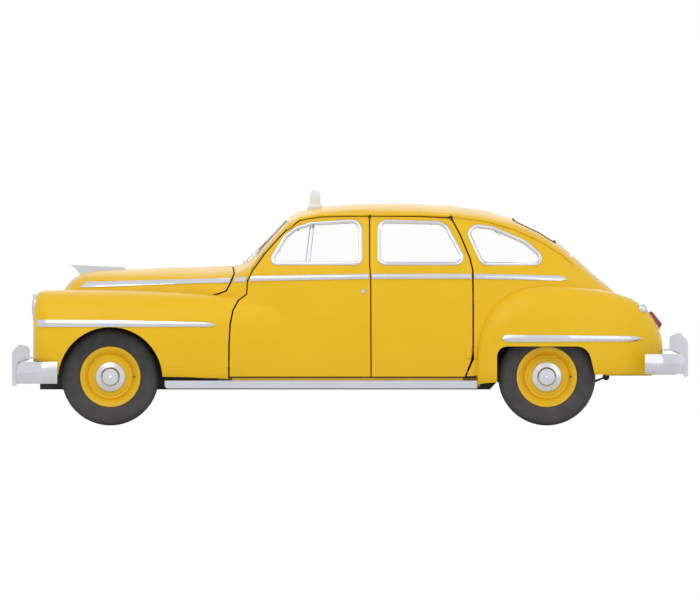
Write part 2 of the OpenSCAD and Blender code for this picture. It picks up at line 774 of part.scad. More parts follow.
// The part of the side view that belongs to the door and what follows it
fender_end_px = concat(
  [for (i = [0 : 5]) front_door_px[i]], [[249, 200], [500, 200], [500, 400], [230.6, 400]]);
fender_seat = seat_gap * 6;
module front_fender() {
  color(paint) pressed() difference() {
    fender_solid(front_fender_px_shares);
    fender_solid(front_fender_px_shares, panel_thickness, overrun, 1);
    body_solid(-fender_seat, -fender_seat);
    intersection() {
      body_solid(-hood_side_gap, -hood_side_gap);
      side_slab(0, across) offset(delta = panel_gap) hood_region();
    }
    side_slab(0, across)
      offset(delta = hinge_gap) polygon(outline(fender_end_px));
    translate([front_axle_x, 0, axle_z - arch_drop]) rotate([-90, 0, 0])
      cylinder(r = arch_radius, h = across);
    translate([-across * 2, 0, -overrun])
      cube([across * 4, across, at_z(fender_low_py) + overrun + seat_gap]);
    translate([-across * 2, 0, 0])
      cube([across * 2 + front_axle_x, grille_half + seat_gap, grille_z[1] + seat_gap]);
    translate([at_x(lamp_px[0]) - overrun, lamp_y, at_z(lamp_px[1])]) rotate([0, 90, 0])
      cylinder(r = lamp_radius + seat_gap, h = lamp_depth + overrun);
  }
}
module rear_fender() {
  color(paint) pressed() difference() {
    fender_solid(rear_fender_px_shares);
    fender_solid(rear_fender_px_shares, panel_thickness, overrun, 1);
    body_solid(-seat_gap, -seat_gap);
    side_slab(0, across) polygon(rounded_px(rear_arch_px));
    trunk_region(panel_gap, lid_gap);
    horn_notch();
  }
}

// Lamps, with their axes along the car
module headlamp() {
  glass_rise = 18;
  ring = 14;
  back_radius = 60;
  translate([at_x(lamp_px[0]), lamp_y, at_z(lamp_px[1])]) rotate([0, 90, 0])
    rotate_extrude()
      polygon(concat(
        [for (i = [0 : 6]) [(lamp_radius - ring) * i / 6, glass_rise * pow(i / 6, 2)]],
        [[lamp_radius - ring / 2, glass_rise - ring / 3], [lamp_radius, glass_rise + ring / 2],
         [lamp_radius, lamp_depth / 2], [back_radius, lamp_depth], [0, lamp_depth]]));
}
module headlamps() {
  color(chrome) right_and_left() headlamp();
}
tail_lamp_px = [653.4, 320.4];
tail_lamp_share = 0.625;
tail_lamp_radius = 46;
tail_lamp_long = 34;
module tail_lamp() {
  tilt = 52;
  difference() {
    translate([at_x(tail_lamp_px[0]), tail_lamp_share * cover_half, at_z(tail_lamp_px[1])])
      rotate([0, tilt, 0]) translate([0, 0, -tail_lamp_radius])
        hull() for (d = [-1, 1])
          translate([d * tail_lamp_long, 0, 0]) {
            cylinder(r = tail_lamp_radius, h = tail_lamp_radius, $fn = 20);
            cylinder(r = tail_lamp_radius * 0.6, h = tail_lamp_radius * 1.75, $fn = 20);
          }
    fender_solid(rear_fender_px_shares, -seat_gap);
  }
}
module tail_lamps() {
  color("#8d1c2c") pressed() right_and_left() tail_lamp();
}
// Roof lamp: a blank dome on a flared foot
roof_lamp_px = [
  [307, 214, 0.2], [307.2, 208.6, 1.5], [309.6, 203.6, 1.5], [309.6, 190, 5.2],
  [320.4, 190, 5.2], [320.5, 203.2, 1.5], [322.4, 206.8, 1], [322.4, 214, 0.2]
];
roof_lamp_py = [214, 206.8, 203.4, 190];
roof_lamp_half_share = 0.1526;
roof_lamp_waist_share = 0.94;
roof_lamp_corner = 62;
module roof_lamp() {
  half = roof_lamp_half_share * half_width;
  waist = half * roof_lamp_waist_share;
  z = [for (py = roof_lamp_py) at_z(py)];
  r = [seat_gap, roof_lamp_corner / 4, roof_lamp_corner / 4, roof_lamp_corner];
  side = [[half, z[0], r[0]], [half, z[1], r[1]], [waist, z[2], r[2]], [waist, z[3], r[3]]];
  color("#f4f4ee") pressed() difference() {
    intersection() {
      side_slab(-across, across) polygon(rounded_px(roof_lamp_px));
      translate([-across, 0, 0]) rotate([90, 0, 90]) linear_extrude(height = across * 2)
        polygon(rounded(concat(
          side, [for (i = [0 : 3]) let (p = side[3 - i]) [-p[0], p[1], p[2]]])));
    }
    body_solid(-seat_gap, -seat_gap);
  }
}
fuel_cap_px = [642, 309];
fuel_cap_share = 0.70;
fuel_cap_radius = 40;
module fuel_cap() {
  color(chrome) pressed() difference() {
    translate([at_x(fuel_cap_px[0]), -fuel_cap_share * cover_half, at_z(fuel_cap_px[1])])
      sphere(r = fuel_cap_radius, $fn = 18);
    mirror([0, 1, 0]) fender_solid(rear_fender_px_shares, -seat_gap, 0, 1);
  }
}

// A bumper blade follows a squared-off curve in plan; its section bulges outward
bumper_power = 3.2;
bumper_steps = 18;
bumper_share = 1.1006;
bumper_half = bumper_share * cover_half;
blade_section_shares = [
  [-0.13, -1], [-0.03, -0.62], [0, 0], [-0.03, 0.62], [-0.13, 1], [-0.18, 0.92], [-0.18, -0.92]
];
function bumper_point(end_x, deep, w) = [
  end_x - deep * pow(max(cos(w), 0), 2 / bumper_power),
  bumper_half * signed_power(sin(w), 2 / bumper_power)];
module bumper_blade(end_x, deep, low, high) {
  nudge = 0.5;
  half = (high - low) / 2;
  loft([for (i = [0 : bumper_steps])
    let (
      w = 180 * i / bumper_steps - 90,
      p = bumper_point(end_x, deep, w),
      d = unit(bumper_point(end_x, deep, max(w - nudge, -90))
        - bumper_point(end_x, deep, min(w + nudge, 90))),
      n = [d[1], -d[0]])
    [for (q = blade_section_shares)
      [p[0] + n[0] * q[0] * half * 2, p[1] + n[1] * q[0] * half * 2, (low + high) / 2 + q[1] * half]]]);
}
bumper_bracket_width = 46;
guard_width = 74;
guard_share = 0.497;
guard_y = guard_share * half_width;
// Ends and foremost place of a blade, its heights, the heights of its brackets and where they start
front_blade_px = [57.2, 13.6];
front_blade_py = [383.8, 361.9];
front_bracket_py = [378, 372];
front_bracket_px = 17;
rear_blade_px = [645, 686.6];
rear_blade_py = [374, 354];
rear_bracket_py = [369, 363];
rear_bracket_px = 683;
// Side views of the upright guards and of the pans that cover the gaps to the body
front_guard_px = [
  [12, 386, 2], [12, 352, 7], [19, 344.2, 3], [29.9, 347, 4], [29.9, 360, 3], [17, 364, 1], [17, 386, 2]
];
rear_guard_px = [
  [688, 377, 2], [688, 341, 7], [680, 332.6, 3], [669.4, 336, 4],
  [669.4, 350, 3], [683, 356, 1], [683, 377, 2]
];
front_pan_px = [
  [16.6, 363.4], [18.2, 360], [25, 356.8], [32.8, 356.8],
  [32.8, 358.8], [25.6, 358.8], [19.4, 361.4], [18, 363.4]
];
rear_pan_px = [
  [683.4, 355.4], [681.8, 352], [676, 348.9], [663.3, 348.9],
  [663.3, 350.9], [675, 350.9], [680.4, 353.2], [681.9, 355.4]
];
pan_share = 0.66;
// Half width of the notch in a pan, over the tow hole and the crank hole
pan_notch = 90;
module bumper_fittings(guard_px, pan_px) {
  right_and_left() side_slab(guard_y - guard_width / 2, guard_y + guard_width / 2)
    polygon(rounded_px(guard_px, 4));
  right_and_left() side_slab(pan_notch, pan_share * half_width) polygon(outline(pan_px));
}
module front_bumper() {
  end_x = at_x(front_blade_px[0]);
  deep = end_x - at_x(front_blade_px[1]);
  first_x = at_x(front_bracket_px);
  bracket_z = [at_z(front_bracket_py[0]), at_z(front_bracket_py[1])];
  color(chrome) pressed() {
    bumper_blade(end_x, deep, at_z(front_blade_py[0]), at_z(front_blade_py[1]));
    bumper_fittings(front_guard_px, front_pan_px);
    right_and_left() translate([first_x, rail_y - bumper_bracket_width / 2, bracket_z[0]])
      cube([rail_front_x - seat_gap - first_x, bumper_bracket_width, bracket_z[1] - bracket_z[0]]);
  }
}
module rear_bumper() {
  end_x = at_x(rear_blade_px[0]);
  deep = at_x(rear_blade_px[1]) - end_x;
  bracket_x = rail_back_x + seat_gap;
  bracket_z = [at_z(rear_bracket_py[0]), at_z(rear_bracket_py[1])];
  color(chrome) pressed() {
    translate([end_x, 0, 0]) mirror([1, 0, 0]) translate([-end_x, 0, 0])
      bumper_blade(end_x, deep, at_z(rear_blade_py[0]), at_z(rear_blade_py[1]));
    bumper_fittings(rear_guard_px, rear_pan_px);
    right_and_left() translate([bracket_x, rail_y - bumper_bracket_width / 2, bracket_z[0]])
      cube([at_x(rear_bracket_px) - bracket_x, bumper_bracket_width, bracket_z[1] - bracket_z[0]]);
  }
}
// Grille of upright bars between two rails that bow forward
grille_px = 35.0;
grille_bars = 25;
grille_bow = 16;
bar_width = 13;
bar_depth = 26;
grille_rail_height = 26;
function grille_x(y) = at_x(grille_px) + grille_bow * pow(y / grille_half, 2);
module grille() {
  steps = 16;
  low = grille_z[0];
  high = grille_z[1];
  color(chrome) {
    for (z = [low, high - grille_rail_height])
      translate([0, 0, z]) linear_extrude(height = grille_rail_height)
        polygon(concat(
          [for (i = [0 : steps])
            let (y = grille_half * (2 * i / steps - 1)) [grille_x(y) - bar_width / 2, y]],
          [for (i = [0 : steps])
            let (y = grille_half * (1 - 2 * i / steps))
            [grille_x(y) + bar_depth + bar_width, y]]));
    for (i = [0 : grille_bars - 1])
      let (y = (grille_half - bar_width) * (2 * i / (grille_bars - 1) - 1))
      translate([grille_x(y), y - bar_width / 2, low + grille_rail_height])
        cube([bar_depth, bar_width, high - low - grille_rail_height * 2]);
  }
}
radiator_px = [76, 84];
radiator_x = [at_x(radiator_px[0]), at_x(radiator_px[1])];
radiator_py = [372.1, 292.1];
radiator_z = [at_z(radiator_py[0]), at_z(radiator_py[1])];
radiator_share = 0.3237;
radiator_half = radiator_share * half_width;
module radiator() {
  color(dark)
    translate([radiator_x[0], -radiator_half, radiator_z[0]])
      cube([radiator_x[1] - radiator_x[0], radiator_half * 2, radiator_z[1] - radiator_z[0]]);
  color(dark)
    translate([radiator_x[0], -rail_y, rail_low + rail_height + seat_gap])
      cube([radiator_x[1] - radiator_x[0], rail_y * 2, radiator_z[0] - rail_low - rail_height]);
}
// Bright sill under the doors
board_px = [164.7, 477.2];
board_bend_px = [229, 320];
rocker_share = 0.7977;
rocker_in = rocker_share * half_width;
board_corner = 24;
board_front_share = 1.02;
board_mid_share = 0.985;
module running_board() {
  top = board_z[1];
  low = board_z[0];
  edge = seat_gap * 3;
  mid_y = board_mid_share * half_width;
  front_y = board_front_share * half_width;
  color(chrome)
    intersection() {
      side_slab(0, across)
        polygon(rounded([
          [at_x(board_px[0]), top, edge], [at_x(board_px[0]), low, board_corner],
          [at_x(board_px[1]), low, board_corner / 3], [at_x(board_px[1]), top, edge]]));
      translate([0, 0, low - overrun]) linear_extrude(height = top - low + overrun * 2)
        polygon([
          [at_x(board_px[0]) - overrun, rocker_in], [at_x(board_px[1]) + overrun, rocker_in],
          [at_x(board_px[1]) + overrun, mid_y], [at_x(board_bend_px[1]), mid_y],
          [at_x(board_bend_px[0]), (front_y + mid_y) / 2],
          [at_x(board_px[0]) - overrun, front_y]]);
    }
}
module running_boards() {
  right_and_left() running_board();
}

// Body side frames: rocker, posts behind the doors and the hinge eyes
door_low_py = 376.6;
rocker_top = at_z(door_low_py) - panel_gap;
// Plan of the rocker: places along the car and half widths as shares
rocker_px_shares = [[463, 0.965], [380, 0.975], [320, 0.98], [232, 1]];
post_room = 6;
post_set_in = door_thickness + post_room;
post_depth = 38;
arm_width = 20;
arm_in = 72;
post_size = 60;
// Tops of the posts ahead of, behind and between the doors, and the middle of the last
post_top_py = [308, 285, 219];
post_px = 369.6;
module hinge_eye(x, y, z, run) {
  translate([0, 0, z - hinge_eye_height / 2])
    linear_extrude(height = hinge_eye_height)
      difference() {
        union() {
          translate([x, y]) circle(r = hinge_eye_radius);
          translate([x - arm_width / 2, y - arm_in - arm_width])
            square([arm_width, arm_in + arm_width]);
          translate([run > 0 ? x - arm_width / 2 : x + arm_width / 2 + run, y - arm_in - arm_width])
            square([abs(run), arm_width]);
        }
        translate([x, y]) circle(r = hinge_pin_radius + running_gap);
      }
}
module side_frame() {
  front_x = at_x(front_hinge_px) - hinge_gap - panel_thickness;
  back_x = at_x(rear_hinge_px) + hinge_gap + panel_thickness;
  front_y = front_hinge_y - arm_in;
  back_y = rear_hinge_y - arm_in;
  sides = [for (p = rocker_px_shares) [at_x(p[0]), p[1] * half_width]];
  color(paint) {
    translate([0, 0, board_z[1] + seat_gap]) linear_extrude(height = rocker_top - board_z[1] - seat_gap)
      polygon(concat(
        [[front_x - post_size, rocker_in], [back_x + post_size, rocker_in]],
        [[back_x + post_size, back_y], [sides[0][0], back_y]],
        sides,
        [[sides[3][0], front_y], [front_x - post_size, front_y]]));
    translate([front_x - post_size, front_y - post_size, rocker_top])
      cube([post_size, post_size, at_z(post_top_py[0]) - rocker_top]);
    for (py = front_hinge_py)
      hinge_eye(front_hinge_x, front_hinge_y, at_z(py), -(front_hinge_x - front_x + arm_width / 2));
    translate([back_x, back_y - post_size / 2, rocker_top])
      cube([post_size, post_size, at_z(post_top_py[1]) - rocker_top]);
    for (py = rear_hinge_py)
      hinge_eye(rear_hinge_x, rear_hinge_y, at_z(py), back_x - rear_hinge_x + arm_width / 2);
    pressed()
      intersection() {
        difference() {
          body_solid(post_set_in, post_set_in, 1);
          body_solid(post_set_in + post_depth, post_set_in + post_depth, 1);
        }
        translate([at_x(post_px) - post_size, 0, rocker_top + seat_gap])
          cube([post_size * 2, across, at_z(post_top_py[2]) - rocker_top]);
      }
  }
}

// Chassis
rail_share = 0.4624;
rail_y = rail_share * half_width;
rail_drop = 95;
rail_low = axle_z - rail_drop;
board_rise = 8;
board_z = [rail_low + board_rise, at_z(fender_low_py)];
rail_rise = 205;
rail_back_share = 0.55;
rail_thin_share = 0.8;
rail_rear_low = rail_low + rail_rise * rail_back_share;
rail_px = [40, 665];
rail_front_x = at_x(rail_px[0]);
rail_back_x = at_x(rail_px[1]);
// Places where the rails climb over the rear axle, and the front edges of the cross members
kick_px = [490, 515, 580, 604];
cross_px = [40, 255, 390, 478];
cross_width_px = 12;
cross_height = 50;
tongue_length = 90;
tongue_width = 120;
tongue_thickness = 24;
module chassis_frame() {
  low = rail_low;
  kick = [for (px = kick_px) at_x(px)];
  rear_low = rail_rear_low;
  cross_width = cross_width_px * mm_x;
  thin = rail_height * rail_thin_share;
  color(dark) {
    right_and_left() side_slab(rail_y - rail_width / 2, rail_y + rail_width / 2)
      polygon([
        [rail_front_x, low], [kick[0], low], [kick[1], low + rail_rise],
        [kick[2], low + rail_rise], [kick[3], rear_low], [rail_back_x, rear_low],
        [rail_back_x, rear_low + thin], [kick[3], rear_low + thin],
        [kick[2], low + rail_rise + thin], [kick[1], low + rail_rise + thin],
        [kick[0], low + rail_height], [rail_front_x, low + rail_height]]);
    for (px = cross_px)
      translate([at_x(px), -rail_y, low]) cube([cross_width, rail_y * 2, cross_height]);
    translate([rail_back_x - cross_width, -rail_y, rear_low])
      cube([cross_width, rail_y * 2, cross_height]);
  }
  color(dark) difference() {
    translate([rail_back_x + seat_gap, -tongue_width / 2, rear_low])
      cube([tongue_length, tongue_width, tongue_thickness]);
    translate([rail_back_x + seat_gap + tongue_length / 2, 0, rear_low - overrun])
      cylinder(r = tow_hole_radius, h = overrun * 3);
  }
}
kingpin_offset = 110;
kingpin_y = front_track / 2 - kingpin_offset;
arm_below = 110;
arm_above = 80;
arm_z = [axle_z - arm_below, axle_z + arm_above];
arm_height = 28;
knuckle_radius = 26;
knuckle_room = 6;
module wishbone(z) {
  eye_wall = 14;
  eye_radius = kingpin_radius + eye_wall;
  root = 110;
  bar = 34;
  rail_side = rail_y + rail_width / 2 + seat_gap;
  translate([front_axle_x, 0, z]) linear_extrude(height = arm_height)
    difference() {
      union() {
        translate([0, kingpin_y]) circle(r = eye_radius);
        for (d = [-1, 1])
          polygon([
            [d * (root - bar), rail_side], [d * root, rail_side],
            [d * eye_radius * 0.9, kingpin_y], [0, kingpin_y - eye_radius]]);
      }
      translate([0, kingpin_y]) circle(r = kingpin_radius + running_gap);
    }
}
module front_suspension() {
  tower = 60;
  cross_half = 85;
  color(dark) {
    right_and_left() {
      wishbone(arm_z[0]);
      wishbone(arm_z[1]);
      translate([front_axle_x - tower * 2, rail_y - rail_width / 2, rail_low + rail_height + seat_gap])
        cube([tower * 4, rail_width, arm_z[1] + arm_height - rail_low - rail_height]);
    }
    translate([front_axle_x - cross_half, -rail_y + rail_width / 2 + seat_gap, rail_low])
      cube([cross_half * 2, rail_y * 2 - rail_width - seat_gap * 2, rail_height / 2]);
  }
}
spindle_end = 30;
hub_inner = 70;
module knuckle(side) {
  color(dark) translate([front_axle_x, side * kingpin_y, 0]) {
    translate([0, 0, arm_z[0] - knuckle_room])
      cylinder(r = kingpin_radius, h = arm_z[1] + arm_height - arm_z[0] + knuckle_room * 2);
    difference() {
      union() {
        translate([0, 0, arm_z[0] + arm_height + knuckle_room])
          cylinder(r = knuckle_radius, h = arm_z[1] - arm_z[0] - arm_height - knuckle_room * 2);
        translate([0, 0, axle_z]) rotate([-90 * side, 0, 0])
          cylinder(r = spindle_radius, h = kingpin_offset + spindle_end);
      }
      translate([0, 0, arm_z[0] - overrun])
        cylinder(r = kingpin_radius, h = arm_z[1] - arm_z[0] + overrun * 3);
    }
  }
}
spring_out = 120;
spring_y = rail_y + spring_out;
spring_width = 60;
spring_drop = 65;
spring_pad_z = axle_z - spring_drop;
spring_end_px = 606;
spring_flat_share = 0.167;
function spring_rise(u) = pow(max(abs(u) - spring_flat_share, 0) / (1 - spring_flat_share), 2);
shaft_front_px = 226;
module rear_axle() {
  tube_end = rear_track / 2 - hub_inner - knuckle_room;
  diff_radius = 115;
  shaft_radius = 34;
  shaft_front_x = at_x(shaft_front_px);
  pad = 90;
  color(dark) {
    translate([rear_axle_x, 0, axle_z]) {
      rotate([-90, 0, 0]) translate([0, 0, -tube_end]) cylinder(r = axle_tube_radius, h = tube_end * 2);
      rotate([-90, 0, 0]) translate([0, 0, -rear_track / 2 - spindle_end])
        cylinder(r = spindle_radius, h = rear_track + spindle_end * 2);
      sphere(r = diff_radius);
    }
    right_and_left()
      translate([rear_axle_x - pad / 2, spring_y - spring_width / 2, spring_pad_z + seat_gap])
        cube([pad, spring_width, axle_z - spring_pad_z]);
    translate([shaft_front_x, 0, axle_z]) rotate([0, 90, 0])
      cylinder(r = shaft_radius, h = rear_axle_x - shaft_front_x);
  }
}
module leaf_springs() {
  half = at_x(spring_end_px) - rear_axle_x;
  sag = 70;
  thick = 40;
  steps = 12;
  eye = 26;
  eye_y = rail_y + rail_width / 2;
  color(dark) right_and_left() {
    side_slab(spring_y - spring_width / 2, spring_y + spring_width / 2)
      polygon(concat(
        [for (i = [0 : steps])
          let (u = 2 * i / steps - 1) [rear_axle_x + half * u, spring_pad_z + sag * spring_rise(u)]],
        [for (i = [0 : steps])
          let (u = 1 - 2 * i / steps)
          [rear_axle_x + half * u, spring_pad_z + sag * spring_rise(u) - thick * (1.3 - abs(u))]]));
    for (d = [-1, 1])
      translate([rear_axle_x + d * half, eye_y + seat_gap, spring_pad_z + sag - thick * 0.15])
        rotate([-90, 0, 0]) cylinder(r = eye, h = spring_y + spring_width / 2 - eye_y);
  }
}
// Engine and gearbox: places along the car, heights and half widths
engine_px = [92, 186, 224.5];
engine_py = [371.5, 301.5];
gearbox_py = [385.5, 356.1];
engine_share = 0.1908;
gearbox_share = 0.1214;
module engine() {
  engine_half = engine_share * half_width;
  gearbox_half = gearbox_share * half_width;
  x = [for (px = engine_px) at_x(px)];
  color("#5a5e60") {
    translate([x[0], -engine_half, at_z(engine_py[0])])
      cube([x[1] - x[0], engine_half * 2, at_z(engine_py[1]) - at_z(engine_py[0])]);
    translate([x[1], -gearbox_half, at_z(gearbox_py[0])])
      cube([x[2] - x[1], gearbox_half * 2, at_z(gearbox_py[1]) - at_z(gearbox_py[0])]);
  }
}
pipe_share = 0.347;
pipe_y = -pipe_share * half_width;
pipe_radius = 24;
pipe_px = [215, 482];
muffler_px = [300, 360];
module exhaust() {
  muffler_radius = 50;
  pipe_z = rail_low + cross_height + pipe_radius + seat_gap;
  color(dark) {
    translate([at_x(pipe_px[0]), pipe_y, pipe_z]) rotate([0, 90, 0])
      cylinder(r = pipe_radius, h = at_x(pipe_px[1]) - at_x(pipe_px[0]));
    translate([at_x(muffler_px[0]), pipe_y, pipe_z]) rotate([0, 90, 0])
      cylinder(r = muffler_radius, h = at_x(muffler_px[1]) - at_x(muffler_px[0]));
  }
}
trunk_floor_py = 342.8;
trunk_floor_z = at_z(trunk_floor_py);
tank_px = [606, 640];
tank_x = [at_x(tank_px[0]), at_x(tank_px[1])];
tank_share = 0.3815;
tank_half = tank_share * half_width;
tank_low_py = 366.8;
tank_z = [at_z(tank_low_py), trunk_floor_z - seat_gap];
module fuel_tank() {
  color(dark)
    translate([tank_x[0], -tank_half, tank_z[0]])
      cube([tank_x[1] - tank_x[0], tank_half * 2, tank_z[1] - tank_z[0]]);
}
floor_lift = 10;
floor_z = rail_low + rail_height + floor_lift;
floor_thickness = 15;
floor_half = rocker_in - panel_gap;
tunnel_half = 90;
tunnel_rise = 50;
tunnel_top = floor_z + tunnel_rise;
// Firewall, step up to the trunk floor and bulkhead behind the rear seat
floor_px = [224.6, 488.6, 535];
firewall_x = at_x(floor_px[0]);
floor_back_x = at_x(floor_px[1]);
bulkhead_x = at_x(floor_px[2]);
trunk_floor_px = [595, 620, 634];
firewall_py = 280.1;
firewall_share = 0.74;
firewall_corner_py = 300;
firewall_crest_share = 0.42;
bulkhead_py = 284.1;
hood_eye_drop = 110;
trunk_eye_drop = trunk_pivot_z - at_z(bulkhead_py) + lid_eye_radius * 3;
module wheel_house() {
  deep = house_side_y - wheel_house_y + wheel_house_wall;
  intersection() {
    translate([rear_axle_x, wheel_house_y - wheel_house_wall, axle_z]) rotate([-90, 0, 0])
      difference() {
        cylinder(r = wheel_house_radius + wheel_house_wall, h = deep);
        translate([0, 0, wheel_house_wall]) cylinder(r = wheel_house_radius, h = across);
      }
    translate([0, 0, trunk_floor_z]) cube([across * 2, across, across]);
  }
}
module wheel_houses() {
  color("#c9a227") right_and_left() wheel_house();
}
// Floor with its tunnel, between the firewall and the step up to the trunk floor
module floor_pan() {
  t = floor_thickness;
  first_x = firewall_x + t + seat_gap;
  long = floor_back_x - t - seat_gap - first_x;
  color("#c9a227") difference() {
    union() {
      translate([first_x, -floor_half, floor_z]) cube([long, floor_half * 2, t]);
      translate([first_x, -tunnel_half, floor_z]) cube([long, tunnel_half * 2, tunnel_rise]);
    }
    translate([first_x - fuse, -tunnel_half + t, 0])
      cube([long + fuse * 2, (tunnel_half - t) * 2, tunnel_top - t]);
  }
}
// Firewall over the tunnel's mouth, with its upper corners cut off for the swing of the hood
module firewall() {
  t = floor_thickness;
  half = firewall_share * half_width;
  crest = firewall_crest_share * half_width;
  mouth = tunnel_half - t;
  top = at_z(firewall_py);
  corner = at_z(firewall_corner_py);
  color("#c9a227") {
    translate([firewall_x, 0, 0]) rotate([90, 0, 90]) linear_extrude(height = t)
      polygon([
        [-half, floor_z], [-mouth, floor_z], [-mouth, tunnel_top - t],
        [mouth, tunnel_top - t], [mouth, floor_z], [half, floor_z],
        [half, corner], [crest, top], [-crest, top], [-half, corner]]);
    right_and_left() lid_eye(hood_pivot_x, hood_pivot_z, hood_eye_drop, firewall_x + t / 2);
  }
}
// Step, trunk floor and bulkhead, with the eyes of the trunk lid's hinges
module trunk_floor() {
  t = floor_thickness;
  rear_half = wheel_house_y - wheel_house_wall - seat_gap;
  x = [for (px = trunk_floor_px) at_x(px)];
  step_x = floor_back_x - t;
  color("#c9a227") {
    translate([step_x, -rear_half, floor_z]) cube([t, rear_half * 2, trunk_floor_z + t - floor_z]);
    translate([0, 0, trunk_floor_z]) linear_extrude(height = t)
      polygon([
        [step_x, -rear_half], [x[0], -rear_half], [x[1], -trunk_half], [x[2], -trunk_half],
        [x[2], trunk_half], [x[1], trunk_half], [x[0], rear_half], [step_x, rear_half]]);
    translate([bulkhead_x, -rear_half, trunk_floor_z])
      cube([t, rear_half * 2, at_z(bulkhead_py) - trunk_floor_z]);
    right_and_left() lid_eye(trunk_pivot_x, trunk_pivot_z, trunk_eye_drop, bulkhead_x + t / 2);
  }
}

// Cabin
seat_side_room = 60;
seat_half = rocker_in - seat_side_room;
rear_seat_room = 27;
rear_seat_half = wheel_house_y - wheel_house_wall - rear_seat_room;
seat_floor_py = at_py(floor_z + floor_thickness + seat_gap);
module tunnel_room() {
  translate([-across, -tunnel_half - seat_gap, 0])
    cube([across * 4, (tunnel_half + seat_gap) * 2, tunnel_top + seat_gap]);
}
// Side views of the benches, with a radius at each corner
front_bench_px = [
  [306, seat_floor_py, 0.7], [304, 332.1, 9.3], [364.9, 335.9, 3], [375.3, 273.5, 6.7],
  [388.7, 273.5, 6], [382, 340.1, 8], [377.3, seat_floor_py, 0.7]
];
rear_bench_py = at_py(trunk_floor_z + floor_thickness + seat_gap);
rear_step_px = floor_px[1] - (floor_thickness + seat_gap) / mm_x;
rear_bench_px = [
  [443.3, seat_floor_py, 0.7], [441.3, 326.8, 9.3], [500.7, 330.1, 3],
  [510.7, 268.1, 7.3], [532.4, 268.1, 6.7],
  [floor_px[2] - seat_gap / mm_x, rear_bench_py, 0.4], [rear_step_px, rear_bench_py, 0.1],
  [rear_step_px, seat_floor_py, 0.4]
];
module front_seat() {
  color(cloth) difference() {
    side_slab(-seat_half, seat_half) polygon(rounded_px(front_bench_px));
    tunnel_room();
  }
}
module rear_seat() {
  color(cloth) difference() {
    side_slab(-rear_seat_half, rear_seat_half) polygon(rounded_px(rear_bench_px));
    tunnel_room();
  }
}
wheel_hub_px = [297.333, 293.46];
wheel_hub_share = 0.43353;
wheel_hub = [at_x(wheel_hub_px[0]), -wheel_hub_share * half_width, at_z(wheel_hub_px[1])];
column_tilt = 32;
column_radius = 26;
// The column starts below the wheel, ends at the firewall and takes the wheel's shaft
column_start = 50;
steering_shaft_radius = 12;
shaft_start = 20;
shaft_length = 90;
column_bore = 80;
// The dashboard's side view, and the beam that ties it to the cowl
dash_share = 0.74;
dash_px = [
  [245.6, 290.8, 0.7], [245.6, 275.45, 2.7], [270, 275.45, 4],
  [275.3, 282.1, 2.7], [272, 297.5, 4], [264.7, 298.8, 1.3]
];
dash_beam_px = [239, 245.6];
dash_beam_py = [288.1, 278.8];
module dashboard() {
  half = dash_share * half_width;
  reach = wheel_hub[0] - firewall_x - floor_thickness - seat_gap - column_radius * sin(column_tilt);
  column_long = reach / cos(column_tilt) - column_start;
  beam_x = [at_x(dash_beam_px[0]), at_x(dash_beam_px[1])];
  beam_z = [at_z(dash_beam_py[0]), at_z(dash_beam_py[1])];
  color(paint) {
    side_slab(-half, half) polygon(rounded_px(dash_px));
    pressed() intersection() {
      body_solid(panel_thickness + seat_gap * 2, panel_thickness + seat_gap * 2, 1);
      translate([beam_x[0], -across, beam_z[0]])
        cube([beam_x[1] - beam_x[0], across * 2, beam_z[1] - beam_z[0]]);
    }
  }
  color(dark)
    translate(wheel_hub) rotate([0, -90 - column_tilt, 0]) translate([0, 0, column_start])
      difference() {
        cylinder(r = column_radius, h = column_long);
        translate([0, 0, -fuse]) cylinder(r = steering_shaft_radius + running_gap, h = column_bore);
      }
}
module steering_wheel() {
  rim = 13;
  hub_radius = 42;
  hub_rise = 16;
  hub_height = 40;
  spoke = 16;
  spoke_thickness = 8;
  color(dark)
    translate(wheel_hub) rotate([0, -90 - column_tilt, 0]) {
      rotate_extrude() translate([steering_wheel_radius, 0]) circle(r = rim);
      translate([0, 0, -hub_rise]) cylinder(r = hub_radius, h = hub_height);
      for (a = [90, 210, 330])
        rotate([0, 0, a]) translate([0, -spoke / 2, -spoke_thickness / 2])
          cube([steering_wheel_radius, spoke, spoke_thickness]);
      translate([0, 0, shaft_start]) cylinder(r = steering_shaft_radius, h = shaft_length);
    }
}

// Wheels, made about their own axis with the outer side up, then laid on their axle
// Section of the wheel from the hub's inner face round the rim to the hub cap: radii as shares of the
// rim's radius and heights as shares of the tyre's width
wheel_section_shares = [
  [0.265, -0.407], [0.265, -0.174], [0.531, -0.047], [0.779, -0.14], [0.823, -0.425], [1, -0.46],
  [1, -0.4215], [0.912, -0.367], [0.867, -0.116], [0.867, 0.14], [0.912, 0.367], [1, 0.4215],
  [1, 0.46], [0.947, 0.454], [0.841, 0.344], [0.761, 0.174], [0.717, 0.233], [0.655, 0.209],
  [0.619, 0.244], [0.496, 0.267], [0.478, 0.384], [0.319, 0.43], [0.265, 0.5], [0, 0.535]
];
spindle_room = 6;
hub_inner_share = wheel_section_shares[0][1];
module wheel_shape() {
  bore = spindle_radius + running_gap;
  deep = spindle_end + spindle_room;
  rotate_extrude()
    polygon(concat(
      [[bore, hub_inner_share * tyre_width]],
      [for (p = wheel_section_shares) [p[0] * rim_radius, p[1] * tyre_width]],
      [[0, deep], [bore, deep]]));
}
bead_depth = 19;
tyre_power = 0.62;
